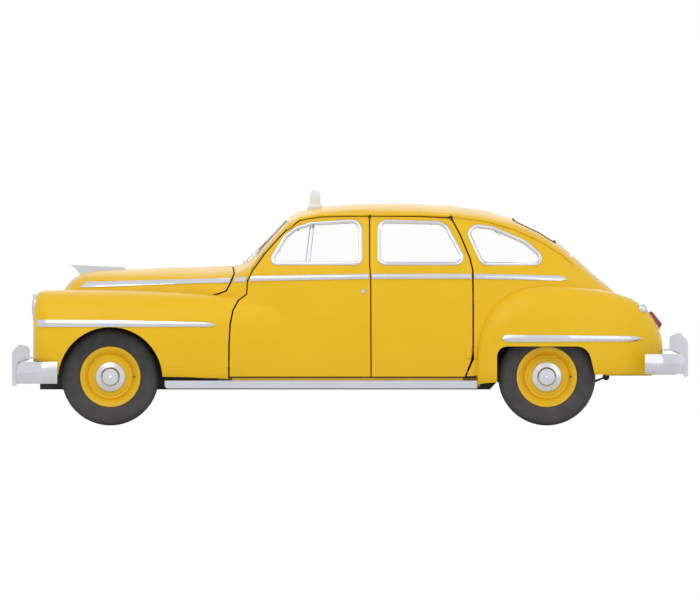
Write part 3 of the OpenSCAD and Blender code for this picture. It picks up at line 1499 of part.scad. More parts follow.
// Where the tyre's section opens at the bead, and the angle that it runs through
bead_angle = -55;
tyre_angle = 290;
module tyre_shape() {
  bead = rim_radius - bead_depth;
  steps = 16;
  mid = (bead + tyre_radius) / 2;
  high = (tyre_radius - bead) / 2;
  rotate_extrude()
    polygon([for (i = [0 : steps]) let (w = bead_angle + tyre_angle * i / steps)
      [mid + high * signed_power(sin(w), tyre_power),
       tyre_width / 2 * signed_power(cos(w), tyre_power)]]);
}
module on_axle(x, y, left) {
  translate([x, y, axle_z]) rotate([left ? 90 : -90, 0, 0]) children();
}
module wheel(x, y, left) {
  color(paint) on_axle(x, y, left) wheel_shape();
}
module tyre(x, y, left) {
  color(dark) on_axle(x, y, left) tyre_shape();
}

// Shows a node when it, or the whole car, is asked for
module shown(name) {
  children();
}
module left_hand() {
  mirror([0, 1, 0]) children();
}
shown("chassis_frame") chassis_frame();
shown("front_suspension") front_suspension();
shown("rear_axle") rear_axle();
shown("leaf_springs") leaf_springs();
shown("engine") engine();
shown("exhaust") exhaust();
shown("fuel_tank") fuel_tank();
shown("floor_pan") floor_pan();
shown("firewall") firewall();
shown("trunk_floor") trunk_floor();
shown("wheel_houses") wheel_houses();
shown("side_frame_left") left_hand() side_frame();
shown("side_frame_right") side_frame();
shown("cowl") cowl();
shown("roof") roof();
shown("quarter_panel_left") left_hand() quarter_panel();
shown("quarter_panel_right") quarter_panel();
shown("rear_panel") rear_panel();
shown("nose_panel") nose_panel();
shown("hood") hood();
shown("hood_ornament") hood_ornament();
shown("trunk_lid") trunk_lid();
shown("front_door_left") left_hand() front_door();
shown("front_door_right") front_door();
shown("rear_door_left") left_hand() rear_door();
shown("rear_door_right") rear_door();
shown("front_door_glass_left") left_hand() side_glass(front_window_px);
shown("front_door_glass_right") side_glass(front_window_px);
shown("rear_door_glass_left") left_hand() side_glass(rear_window_px);
shown("rear_door_glass_right") side_glass(rear_window_px);
shown("body_glass") body_glass();
shown("front_fender_left") left_hand() front_fender();
shown("front_fender_right") front_fender();
shown("rear_fender_left") left_hand() rear_fender();
shown("rear_fender_right") rear_fender();
shown("running_boards") running_boards();
shown("grille") grille();
shown("radiator") radiator();
shown("front_bumper") front_bumper();
shown("rear_bumper") rear_bumper();
shown("headlamps") headlamps();
shown("tail_lamps") tail_lamps();
shown("roof_lamp") roof_lamp();
shown("fuel_cap") fuel_cap();
shown("front_seat") front_seat();
shown("rear_seat") rear_seat();
shown("dashboard") dashboard();
shown("steering_wheel") steering_wheel();
shown("knuckle_left") knuckle(-1);
shown("knuckle_right") knuckle(1);
shown("wheel_front_left") wheel(front_axle_x, -front_track / 2, true);
shown("wheel_front_right") wheel(front_axle_x, front_track / 2, false);
shown("wheel_rear_left") wheel(rear_axle_x, -rear_track / 2, true);
shown("wheel_rear_right") wheel(rear_axle_x, rear_track / 2, false);
shown("tyre_front_left") tyre(front_axle_x, -front_track / 2, true);
shown("tyre_front_right") tyre(front_axle_x, front_track / 2, false);
shown("tyre_rear_left") tyre(rear_axle_x, -rear_track / 2, true);
shown("tyre_rear_right") tyre(rear_axle_x, rear_track / 2, false);
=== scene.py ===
"""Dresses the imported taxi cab: paint, bright trim, glass, rubber, upholstery and small fittings.

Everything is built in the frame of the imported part: X rearward, Y to the car's right and Z up, in
metres. Places that follow the side elevation are given in its pixels and scaled to the part's size.
"""

from __future__ import annotations

import json
import logging
import math
from dataclasses import dataclass
from enum import Enum
from typing import Callable, Iterable, Sequence

import bmesh
import bpy
from mathutils import Matrix, Vector
from mathutils.bvhtree import BVHTree

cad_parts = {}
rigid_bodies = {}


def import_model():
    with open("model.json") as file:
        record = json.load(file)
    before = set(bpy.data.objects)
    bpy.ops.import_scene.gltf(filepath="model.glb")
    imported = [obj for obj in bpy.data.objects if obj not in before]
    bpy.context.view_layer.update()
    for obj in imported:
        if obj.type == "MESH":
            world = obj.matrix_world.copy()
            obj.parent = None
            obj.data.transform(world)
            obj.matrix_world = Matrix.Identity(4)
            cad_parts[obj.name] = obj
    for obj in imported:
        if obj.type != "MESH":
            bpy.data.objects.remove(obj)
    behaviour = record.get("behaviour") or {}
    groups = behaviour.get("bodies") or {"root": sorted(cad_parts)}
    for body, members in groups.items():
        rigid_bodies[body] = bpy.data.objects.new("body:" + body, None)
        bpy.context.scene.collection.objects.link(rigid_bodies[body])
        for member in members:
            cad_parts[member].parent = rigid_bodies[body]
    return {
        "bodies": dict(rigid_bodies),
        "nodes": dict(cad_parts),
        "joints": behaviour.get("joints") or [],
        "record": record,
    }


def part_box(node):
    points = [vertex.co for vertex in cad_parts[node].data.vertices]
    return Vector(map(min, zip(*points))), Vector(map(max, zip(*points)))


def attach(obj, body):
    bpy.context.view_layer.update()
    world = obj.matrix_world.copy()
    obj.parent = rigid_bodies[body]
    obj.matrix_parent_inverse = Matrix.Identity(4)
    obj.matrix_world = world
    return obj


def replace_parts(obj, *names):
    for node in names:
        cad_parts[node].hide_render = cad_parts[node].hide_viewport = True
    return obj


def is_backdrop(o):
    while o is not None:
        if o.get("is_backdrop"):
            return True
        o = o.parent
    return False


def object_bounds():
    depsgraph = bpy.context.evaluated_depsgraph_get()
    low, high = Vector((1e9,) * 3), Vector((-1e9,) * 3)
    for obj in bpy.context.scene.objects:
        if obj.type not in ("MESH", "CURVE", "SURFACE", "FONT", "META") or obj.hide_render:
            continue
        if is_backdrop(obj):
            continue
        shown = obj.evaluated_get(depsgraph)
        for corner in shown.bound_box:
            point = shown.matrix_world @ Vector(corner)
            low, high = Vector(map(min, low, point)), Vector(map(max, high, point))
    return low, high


log = logging.getLogger("taxi_cab")

Colour = tuple[float, float, float]
Point = tuple[float, float]
Place = Callable[[float, float], Vector]

MILLIMETRE = 0.001


class Side(Enum):
    """The two sides of the car, with the sign of their Y."""

    LEFT = -1
    RIGHT = 1

    @property
    def word(self) -> str:
        """The side's name as the node names end in it."""
        return self.name.lower()


class NodeMaker:
    """Adds shader nodes to a tree and links them."""

    def __init__(self, tree: bpy.types.NodeTree) -> None:
        """Keeps the tree that the nodes go into."""
        self.tree = tree

    def add(self, kind: str, inputs: dict[str, object] | None = None, **settings: object) -> bpy.types.Node:
        """Adds a node.

        Args:
            kind: The node's type name.
            inputs: Values or output sockets for its input sockets, by name or number.
            **settings: Properties of the node.

        Returns:
            The new node.
        """
        node = self.tree.nodes.new(kind)
        for key, value in settings.items():
            setattr(node, key, value)
        for key, value in (inputs or {}).items():
            socket = node.inputs[key]
            if isinstance(value, bpy.types.NodeSocket):
                self.tree.links.new(value, socket)
            else:
                socket.default_value = value
        return node

    def mix(self, factor: object, first: object, second: object) -> bpy.types.NodeSocket:
        """Mixes two colours.

        Args:
            factor: Share of the second colour, a value or a socket.
            first: Colour at 0.
            second: Colour at 1.

        Returns:
            The mixed colour's socket.
        """
        node = self.add("ShaderNodeMix", data_type="RGBA")
        colours = [s for s in node.inputs if s.type == "RGBA"]
        for socket, value in ((node.inputs[0], factor), (colours[0], first), (colours[1], second)):
            if isinstance(value, bpy.types.NodeSocket):
                self.tree.links.new(value, socket)
            else:
                socket.default_value = value
        return next(s for s in node.outputs if s.type == "RGBA")

    def span(self, value: bpy.types.NodeSocket, low: float, high: float,
             source: Point = (0.0, 1.0)) -> bpy.types.NodeSocket:
        """Maps a value onto a range.

        Args:
            value: The socket to map.
            low: Result at the start of the source range.
            high: Result at its end.
            source: The source range.

        Returns:
            The mapped value's socket.
        """
        ends = {"Value": value, "From Min": source[0], "From Max": source[1], "To Min": low, "To Max": high}
        return self.add("ShaderNodeMapRange", ends).outputs["Result"]


class Effect(Enum):
    """Shared effects, each a node group that gives a value, a mask or a normal."""

    MOTTLE = "uneven_tone"
    DUST = "road_dust"
    GRAIN = "surface_grain"
    WEAVE = "cloth_weave"

    def group(self) -> bpy.types.NodeTree:
        """Returns the effect's node group, which is made on first use."""
        found = bpy.data.node_groups.get(self.value)
        if found:
            return found
        tree = bpy.data.node_groups.new(self.value, "ShaderNodeTree")
        make = NodeMaker(tree)
        builders = {
            Effect.MOTTLE: self._mottle, Effect.DUST: self._dust,
            Effect.GRAIN: self._grain, Effect.WEAVE: self._weave,
        }
        builders[self](tree, make)
        return tree

    @staticmethod
    def _sockets(tree: bpy.types.NodeTree, inputs: dict[str, float], output: str,
                 kind: str = "NodeSocketFloat") -> tuple[bpy.types.Node, bpy.types.Node]:
        """Gives a group its sockets.

        Args:
            tree: The group.
            inputs: Names and usual values of its inputs.
            output: Name of its one output.
            kind: Socket type of the output.

        Returns:
            The group's input and output nodes.
        """
        for name, value in inputs.items():
            socket = tree.interface.new_socket(name, in_out="INPUT", socket_type="NodeSocketFloat")
            socket.default_value = value
        tree.interface.new_socket(output, in_out="OUTPUT", socket_type=kind)
        return tree.nodes.new("NodeGroupInput"), tree.nodes.new("NodeGroupOutput")

    def _mottle(self, tree: bpy.types.NodeTree, make: NodeMaker) -> None:
        """Fills the group that gives a slow, uneven tone from 0 to 1."""
        given, result = self._sockets(tree, {"Scale": 3.0}, "Value")
        where = make.add("ShaderNodeTexCoord").outputs["Object"]
        noise = make.add("ShaderNodeTexNoise", {
            "Vector": where, "Scale": given.outputs["Scale"], "Detail": 4.0})
        tree.links.new(make.span(noise.outputs[0], 0.0, 1.0, (0.32, 0.68)), result.inputs[0])

    def _dust(self, tree: bpy.types.NodeTree, make: NodeMaker) -> None:
        """Fills the group that gives a mask of road dust, thickest near the ground."""
        given, result = self._sockets(tree, {"Amount": 0.3, "Height": 0.6}, "Mask")
        where = make.add("ShaderNodeTexCoord").outputs["Object"]
        height = make.add("ShaderNodeSeparateXYZ", {0: where}).outputs["Z"]
        share = make.add("ShaderNodeMath", {0: height, 1: given.outputs["Height"]}, operation="DIVIDE")
        low = make.span(share.outputs[0], 1.0, 0.0)
        noise = make.add("ShaderNodeTexNoise", {"Vector": where, "Scale": 7.0, "Detail": 6.0})
        broken = make.add("ShaderNodeMath", {0: low, 1: noise.outputs[0]}, operation="MULTIPLY").outputs[0]
        mask = make.add("ShaderNodeMath", {0: broken, 1: given.outputs["Amount"]}, operation="MULTIPLY")
        tree.links.new(mask.outputs[0], result.inputs[0])

    def _grain(self, tree: bpy.types.NodeTree, make: NodeMaker) -> None:
        """Fills the group that gives a normal with a fine, irregular grain."""
        given, result = self._sockets(tree, {"Scale": 300.0, "Depth": 0.05}, "Normal", "NodeSocketVector")
        where = make.add("ShaderNodeTexCoord").outputs["Object"]
        noise = make.add("ShaderNodeTexNoise", {
            "Vector": where, "Scale": given.outputs["Scale"], "Detail": 3.0})
        bump = make.add("ShaderNodeBump", {
            "Height": noise.outputs[0], "Strength": given.outputs["Depth"], "Distance": MILLIMETRE})
        tree.links.new(bump.outputs["Normal"], result.inputs[0])

    def _weave(self, tree: bpy.types.NodeTree, make: NodeMaker) -> None:
        """Fills the group that gives the height of a plain weave."""
        given, result = self._sockets(tree, {"Scale": 90.0}, "Height")
        where = make.add("ShaderNodeTexCoord").outputs["Object"]
        threads = [
            make.add("ShaderNodeTexWave", {
                "Vector": where, "Scale": given.outputs["Scale"], "Distortion": 0.6,
            }, bands_direction=way).outputs["Fac"]
            for way in ("Y", "DIAGONAL")
        ]
        over = make.add("ShaderNodeMath", {0: threads[0], 1: threads[1]}, operation="MULTIPLY")
        tree.links.new(over.outputs[0], result.inputs[0])


@dataclass(frozen=True)
class Finish:
    """A surface with an uneven tone, a fine grain and some dust.

    Attributes:
        title: Name of the material.
        base: Main colour, in linear RGB.
        second: Colour of the uneven patches.
        roughness: Roughness of the main and the uneven patches.
        metallic: 1 on bare or plated metal.
        coat: Weight of a clear coat.
        specular: Level of the plain reflection.
        mottle: Scale of the uneven patches.
        grain: Scale of the grain.
        depth: Strength of the grain.
        dust: Amount of dust near the ground.
    """

    title: str
    base: Colour
    second: Colour
    roughness: Point
    metallic: float = 0.0
    coat: float = 0.0
    specular: float = 0.5
    mottle: float = 2.5
    grain: float = 420.0
    depth: float = 0.04
    dust: float = 0.0

    DUST_COLOUR = (0.30, 0.26, 0.20, 1.0)

    def material(self) -> bpy.types.Material:
        """Returns the finish's material, which is made on first use."""
        name = f"{self.title}_finish"
        found = bpy.data.materials.get(name)
        if found:
            return found
        material = bpy.data.materials.new(name)
        material.use_nodes = True
        tree = material.node_tree
        tree.nodes.clear()
        make = NodeMaker(tree)
        shader = make.add("ShaderNodeBsdfPrincipled")
        shader.inputs["Metallic"].default_value = self.metallic
        shader.inputs["Coat Weight"].default_value = self.coat
        shader.inputs["Coat Roughness"].default_value = 0.06
        shader.inputs["Specular IOR Level"].default_value = self.specular
        self.dress(make, shader)
        end = make.add("ShaderNodeOutputMaterial")
        tree.links.new(shader.outputs[0], end.inputs["Surface"])
        material.diffuse_color = (*self.base, 1.0)
        return material

    def effect(self, make: NodeMaker, kind: Effect, **inputs: float) -> bpy.types.NodeSocket:
        """Adds a shared effect.

        Args:
            make: Maker for the material's tree.
            kind: Which effect.
            **inputs: Values of its inputs.

        Returns:
            The effect's output socket.
        """
        node = make.add("ShaderNodeGroup")
        node.node_tree = kind.group()
        for name, value in inputs.items():
            node.inputs[name].default_value = value
        return node.outputs[0]

    def dress(self, make: NodeMaker, shader: bpy.types.Node) -> None:
        """Feeds the shader's colour, roughness and normal.

        Args:
            make: Maker for the material's tree.
            shader: The principled shader.
        """
        tone = self.effect(make, Effect.MOTTLE, Scale=self.mottle)
        colour = make.mix(tone, (*self.base, 1.0), (*self.second, 1.0))
        if self.dust:
            mask = self.effect(make, Effect.DUST, Amount=self.dust)
            colour = make.mix(mask, colour, self.DUST_COLOUR)
        links = make.tree.links
        links.new(colour, shader.inputs["Base Color"])
        links.new(make.span(tone, *self.roughness), shader.inputs["Roughness"])
        grain = self.effect(make, Effect.GRAIN, Scale=self.grain, Depth=self.depth)
        links.new(grain, shader.inputs["Normal"])


@dataclass(frozen=True)
class ClothFinish(Finish):
    """Woven cloth, whose threads shade its colour and raise its surface."""

    thread: float = 120.0

    def dress(self, make: NodeMaker, shader: bpy.types.Node) -> None:
        """Feeds the shader with the weave; the arguments are those of Finish.dress."""
        weave = self.effect(make, Effect.WEAVE, Scale=self.thread)
        tone = self.effect(make, Effect.MOTTLE, Scale=self.mottle)
        patchy = make.mix(tone, (*self.base, 1.0), (*self.second, 1.0))
        shaded = make.mix(make.span(weave, 0.0, 0.2), patchy, (*[c * 0.35 for c in self.base], 1.0))
        links = make.tree.links
        links.new(shaded, shader.inputs["Base Color"])
        links.new(make.span(tone, *self.roughness), shader.inputs["Roughness"])
        bump = make.add("ShaderNodeBump", {"Height": weave, "Strength": 0.12, "Distance": MILLIMETRE})
        links.new(bump.outputs["Normal"], shader.inputs["Normal"])


@dataclass(frozen=True)
class GlassFinish(Finish):
    """Clear or coloured glass with a faint film of dust."""

    transmission: float = 1.0

    def dress(self, make: NodeMaker, shader: bpy.types.Node) -> None:
        """Feeds the shader; the arguments are those of Finish.dress."""
        super().dress(make, shader)
        shader.inputs["Transmission Weight"].default_value = self.transmission
        shader.inputs["IOR"].default_value = 1.12 if self.transmission == 1.0 else 1.45


class Look(Enum):
    """The finishes of the car."""

    PAINT = Finish("yellow_paint", (0.90, 0.545, 0.010), (0.88, 0.52, 0.008), (0.26, 0.32),
                   coat=0.08, specular=0.22, grain=240.0, depth=0.012, dust=0.04)
    # A darker copy of the body's yellow: painted shade on faces that point into the car and on the parts
    # inside and under it; its dust is real road dust
    INNER_PAINT = Finish("inner_yellow_paint", (0.62, 0.37, 0.015), (0.50, 0.30, 0.015), (0.45, 0.6),
                         coat=0.1, dust=0.35)
    WHEEL_PAINT = Finish("wheel_yellow_paint", (0.90, 0.545, 0.010), (0.86, 0.50, 0.010), (0.30, 0.40),
                         coat=0.15, specular=0.3, mottle=9.0, depth=0.02, dust=0.05)
    CHROME = Finish("bright_chrome", (0.80, 0.81, 0.82), (0.74, 0.75, 0.77), (0.16, 0.24),
                    metallic=1.0, mottle=5.0, grain=600.0, depth=0.01, dust=0.06)
    GLASS = GlassFinish("window_glass", (0.995, 0.998, 0.998), (0.985, 0.99, 0.99), (0.0, 0.02),
                        mottle=1.5, depth=0.002)
    LENS = GlassFinish("lamp_glass", (0.95, 0.96, 0.97), (0.90, 0.92, 0.93), (0.02, 0.06),
                       mottle=20.0, grain=90.0, depth=0.3, transmission=0.85)
    RED_LENS = Finish("red_lens", (0.30, 0.012, 0.025), (0.22, 0.008, 0.018), (0.12, 0.2),
                      coat=0.6, mottle=22.0, grain=160.0, depth=0.15)
    OPAL = Finish("opal_white", (0.86, 0.86, 0.83), (0.80, 0.80, 0.76), (0.2, 0.3),
                  coat=0.4, mottle=12.0, depth=0.02)
    RUBBER = Finish("tyre_rubber", (0.055, 0.055, 0.055), (0.038, 0.038, 0.038), (0.72, 0.85),
                    mottle=14.0, grain=260.0, depth=0.35, dust=0.22)
    # Near-black rubber of the seals, gasket, hose and valve; on the cabin linings and the aprons behind the
    # wheels it is partly painted shade
    SEAL = Finish("seal_rubber", (0.02, 0.02, 0.02), (0.03, 0.03, 0.03), (0.6, 0.75), mottle=20.0, depth=0.1)
    BLACK = Finish("chassis_black", (0.022, 0.022, 0.024), (0.035, 0.032, 0.03), (0.5, 0.7),
                   mottle=8.0, grain=180.0, depth=0.2, dust=0.35)
    ENGINE = Finish("engine_enamel", (0.16, 0.17, 0.18), (0.11, 0.11, 0.115), (0.4, 0.6),
                    mottle=10.0, grain=200.0, depth=0.3)
    CLOTH = ClothFinish("seat_cloth", (0.25, 0.17, 0.10), (0.20, 0.135, 0.08), (0.8, 0.95), mottle=6.0)
    TRIM = ClothFinish("door_trim_cloth", (0.32, 0.24, 0.16), (0.27, 0.2, 0.13), (0.75, 0.9), mottle=5.0)
    HEADLINING = ClothFinish("headlining_cloth", (0.50, 0.44, 0.36), (0.44, 0.38, 0.31), (0.85, 0.95),
                             mottle=3.0)
    CARPET = ClothFinish("floor_carpet", (0.06, 0.05, 0.045), (0.045, 0.04, 0.035), (0.9, 1.0),
                         mottle=9.0, thread=200.0)
    DASH = Finish("dash_enamel", (0.20, 0.13, 0.075), (0.16, 0.10, 0.06), (0.3, 0.42), coat=0.3, mottle=4.0)
    WHEEL_BLACK = Finish("wheel_black", (0.02, 0.02, 0.02), (0.03, 0.03, 0.03), (0.25, 0.4),
                         coat=0.2, mottle=12.0)
    DIAL = Finish("dial_face", (0.62, 0.60, 0.52), (0.55, 0.53, 0.46), (0.4, 0.5), mottle=30.0)
    FLOOR = Finish("studio_floor", (0.80, 0.80, 0.80), (0.77, 0.77, 0.77), (0.7, 0.8), mottle=0.6, depth=0.01)


class Elevation:
    """Measures of the side elevation, in its pixels."""

    LENGTH_PX = 676.0
    MID_PX = 350.0
    GROUND_PX = 425.5
    ROOF_PX = 203.7
    WIDEST_SHARE = 1.105


class Studio:
    """The frame, with what every piece needs from it."""

    def __init__(self) -> None:
        """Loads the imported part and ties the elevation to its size."""
        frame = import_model()
        self.nodes: dict[str, bpy.types.Object] = frame["nodes"]
        self.bodies: dict[str, list[str]] = frame["record"]["behaviour"]["bodies"]
        low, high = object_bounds()
        self.first_bounds = [list(low), list(high)]
        self.scale_x = (high.x - low.x) / Elevation.LENGTH_PX
        self.scale_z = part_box("roof")[1].z / (Elevation.GROUND_PX - Elevation.ROOF_PX)
        self.half = high.y / Elevation.WIDEST_SHARE
        self.pieces = 0

    def body_of(self, node: str) -> str:
        """The body that a CAD node belongs to."""
        return next(body for body, members in self.bodies.items() if node in members)

    def at(self, place: Point) -> Point:
        """X and Z of a place in the elevation, in metres."""
        x = (place[0] - Elevation.MID_PX) * self.scale_x
        return x, (Elevation.GROUND_PX - place[1]) * self.scale_z

    def piece(self, name: str, shape: bmesh.types.BMesh, looks: Sequence[Look], body: str,
              crease: float = 35.0) -> bpy.types.Object:
        """Turns a shape into a shown piece.

        Args:
            name: Name of the piece.
            shape: Its mesh, which is freed.
            looks: Its finishes, by the faces' material numbers.
            body: The body that it rides on.
            crease: Angle in degrees above which an edge stays sharp.

        Returns:
            The new object.
        """
        for face in shape.faces:
            face.smooth = True
        limit = math.radians(crease)
        for edge in shape.edges:
            edge.smooth = len(edge.link_faces) == 2 and edge.calc_face_angle(0.0) < limit
        mesh = bpy.data.meshes.new(name)
        shape.to_mesh(mesh)
        shape.free()
        thing = bpy.data.objects.new(name, mesh)
        bpy.context.scene.collection.objects.link(thing)
        for look in looks:
            mesh.materials.append(look.value.material())
        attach(thing, body)
        self.pieces += 1
        log.info("%s: %d faces on %s", name, len(mesh.polygons), body)
        return thing

    def copy(self, node: str) -> bmesh.types.BMesh:
        """A merged copy of a CAD node's mesh."""
        shape = bmesh.new()
        shape.from_mesh(self.nodes[node].data)
        bmesh.ops.remove_doubles(shape, verts=shape.verts, dist=0.02 * MILLIMETRE)
        return shape


class Outline:
    """A closed line in the elevation whose corners carry a radius."""

    STEPS = 8

    def __init__(self, corners: Iterable[tuple[float, float, float]]) -> None:
        """Keeps the corners as places with a radius, in pixels."""
        self.corners = list(corners)

    def points(self) -> list[Vector]:
        """The outline's points, with an arc at each corner."""
        found: list[Vector] = []
        count = len(self.corners)
        for i, (x, y, radius) in enumerate(self.corners):
            here = Vector((x, y))
            before = (Vector(self.corners[i - 1][:2]) - here).normalized()
            after = (Vector(self.corners[(i + 1) % count][:2]) - here).normalized()
            half = before.angle(after) / 2
            centre = here + (before + after).normalized() * radius / math.sin(half)
            start = here + before * radius / math.tan(half) - centre
            end = here + after * radius / math.tan(half) - centre
            turn = start.angle_signed(end)
            for k in range(self.STEPS + 1):
                found.append(centre + Matrix.Rotation(-turn * k / self.STEPS, 2) @ start)
        return found

    def ring(self, out: float) -> list[Vector]:
        """The outline moved outward.

        Args:
            out: Distance in pixels.

        Returns:
            One moved point for each point of the outline.
        """
        line = self.points()
        count = len(line)
        area = sum(line[i - 1].x * line[i].y - line[i].x * line[i - 1].y for i in range(count))
        way = 1.0 if area > 0 else -1.0
        moved = []
        for i, here in enumerate(line):
            along = line[(i + 1) % count] - line[i - 1]
            normal = Vector((along.y, -along.x)).normalized() * way
            moved.append(here + normal * out)
        return moved


class Skin:
    """The outer surface of some CAD nodes, to lay trim on."""

    FAR = 3.0

    def __init__(self, studio: Studio, *nodes: str) -> None:
        """Joins the nodes' meshes into one tree for casting rays."""
        joined = bmesh.new()
        for node in nodes:
            joined.from_mesh(studio.nodes[node].data)
        self.tree = BVHTree.FromBMesh(joined)
        joined.free()

    def y(self, x: float, z: float, side: Side) -> float:
        """Y of the skin beside a place in the elevation.

        Args:
            x: Place along the car.
            z: Height.
            side: The side to look from.

        Returns:
            The first hit's Y, or that of the nearest point of the skin.
        """
        start = Vector((x, self.FAR * side.value, z))
        hit = self.tree.ray_cast(start, Vector((0.0, -side.value, 0.0)))[0]
        if hit is None:
            hit = self.tree.find_nearest(Vector((x, self.FAR * 0.3 * side.value, z)))[0]
        return hit.y


def laid_grid(place: Place, along: int, over: int, thickness: float,
              closed: bool = False) -> bmesh.types.BMesh:
    """A grid laid on a surface and given a thickness.

    Args:
        place: Gives the place of the shares along and across the grid.
        along: Number of faces along it.
        over: Number of faces across it.
        thickness: Thickness under the surface.
        closed: Whether its ends meet.

    Returns:
        The new shape.
    """
    shape = bmesh.new()
    grid = bmesh.ops.create_grid(shape, x_segments=along, y_segments=over, size=0.5)
    for vertex in grid["verts"]:
        vertex.co = place(vertex.co.x + 0.5, vertex.co.y + 0.5)
    if closed:
        bmesh.ops.remove_doubles(shape, verts=shape.verts, dist=0.01 * MILLIMETRE)
    bmesh.ops.recalc_face_normals(shape, faces=shape.faces)
    bmesh.ops.solidify(shape, geom=shape.faces[:], thickness=thickness)
    bmesh.ops.recalc_face_normals(shape, faces=shape.faces)
    return shape


def along_line(line: Sequence[Point], share: float) -> Vector:
    """The place at a share of a line's length.

    Args:
        line: Points of the line.
        share: From 0 at its start to 1 at its end.

    Returns:
        The place, in the line's units.
    """
    points = [Vector(p) for p in line]
    lengths = [(b - a).length for a, b in zip(points, points[1:])]
    left = share * sum(lengths)
    for a, b, length in zip(points, points[1:], lengths):
        if left <= length:
            return a.lerp(b, left / length if length else 0.0)
        left -= length
    return points[-1]


def turned(profile: Sequence[Point], steps: int = 64) -> bmesh.types.BMesh:
    """A profile spun round the Z axis.

    Args:
        profile: Radii and heights, from one end to the other.
        steps: Number of steps round.

    Returns:
        The new shape.
    """
    shape = bmesh.new()
    line = [shape.verts.new((radius, 0.0, height)) for radius, height in profile]
    edges = [shape.edges.new(pair) for pair in zip(line, line[1:])]
    bmesh.ops.spin(shape, geom=line + edges, cent=(0, 0, 0), axis=(0, 0, 1), angle=math.tau,
                   steps=steps, use_merge=True)
    bmesh.ops.remove_doubles(shape, verts=shape.verts, dist=0.01 * MILLIMETRE)
    bmesh.ops.recalc_face_normals(shape, faces=shape.faces)
    return shape


def block(low: Vector, high: Vector, bevel: float = 0.0, segments: int = 3) -> bmesh.types.BMesh:
    """A box with rounded edges.

    Args:
        low: Lowest corner.
        high: Highest corner.
        bevel: Width of the rounding.
        segments: Steps of the rounding.

    Returns:
        The new shape.
    """
    shape = bmesh.new()
    size = Vector(high) - Vector(low)
    middle = (Vector(high) + Vector(low)) / 2
    bmesh.ops.create_cube(shape, size=1.0, matrix=Matrix.Translation(middle) @ Matrix.Diagonal((*size, 1.0)))
    if bevel:
        bmesh.ops.bevel(shape, geom=shape.edges[:], offset=bevel, segments=segments, profile=0.5,
                        affect="EDGES", material=-1)
    return shape


def placed(shape: bmesh.types.BMesh, place: Vector, axis: Vector) -> bmesh.types.BMesh:
    """Moves a shape made round Z to a place, with its axis along a direction.

    Args:
        shape: The shape to move.
        place: Where its origin goes.
        axis: Where its Z axis points.

    Returns:
        The same shape.
    """
    turn = Vector(axis).to_track_quat("Z", "Y").to_matrix().to_4x4()
    bmesh.ops.transform(shape, matrix=Matrix.Translation(place) @ turn, verts=shape.verts)
    return shape


def coloured(shape: bmesh.types.BMesh, number: int) -> bmesh.types.BMesh:
    """The same shape with all its faces in one of the piece's finishes, by its number."""
    for face in shape.faces:
        face.material_index = number
    return shape


def joined(shapes: Iterable[bmesh.types.BMesh]) -> bmesh.types.BMesh:
    """Several shapes as one; the given shapes are freed."""
    whole = bmesh.new()
    for shape in shapes:
        mesh = bpy.data.meshes.new("joined")
        shape.to_mesh(mesh)
        shape.free()
        whole.from_mesh(mesh)
        bpy.data.meshes.remove(mesh)
    return whole


def plate(studio: Studio, corners: Sequence[Point], y: float, deep: float) -> bmesh.types.BMesh:
    """A flat plate that stands along the car, with rounded edges.

    Args:
        studio: The frame.
        corners: Its corners in the elevation, in pixels.
        y: Its place across the car.
        deep: Its thickness, along Y.

    Returns:
        The new shape.
    """
    shape = bmesh.new()
    places = [studio.at(corner) for corner in corners]
    face = shape.faces.new([shape.verts.new((x, y, z)) for x, z in places])
    grown = bmesh.ops.extrude_face_region(shape, geom=[face])["geom"]
    verts = [v for v in grown if isinstance(v, bmesh.types.BMVert)]
    bmesh.ops.translate(shape, vec=(0, deep, 0), verts=verts)
    bmesh.ops.recalc_face_normals(shape, faces=shape.faces)
    bmesh.ops.bevel(shape, geom=shape.edges[:], offset=2 * MILLIMETRE, segments=2, profile=0.5,
                    affect="EDGES", material=-1)
    return shape


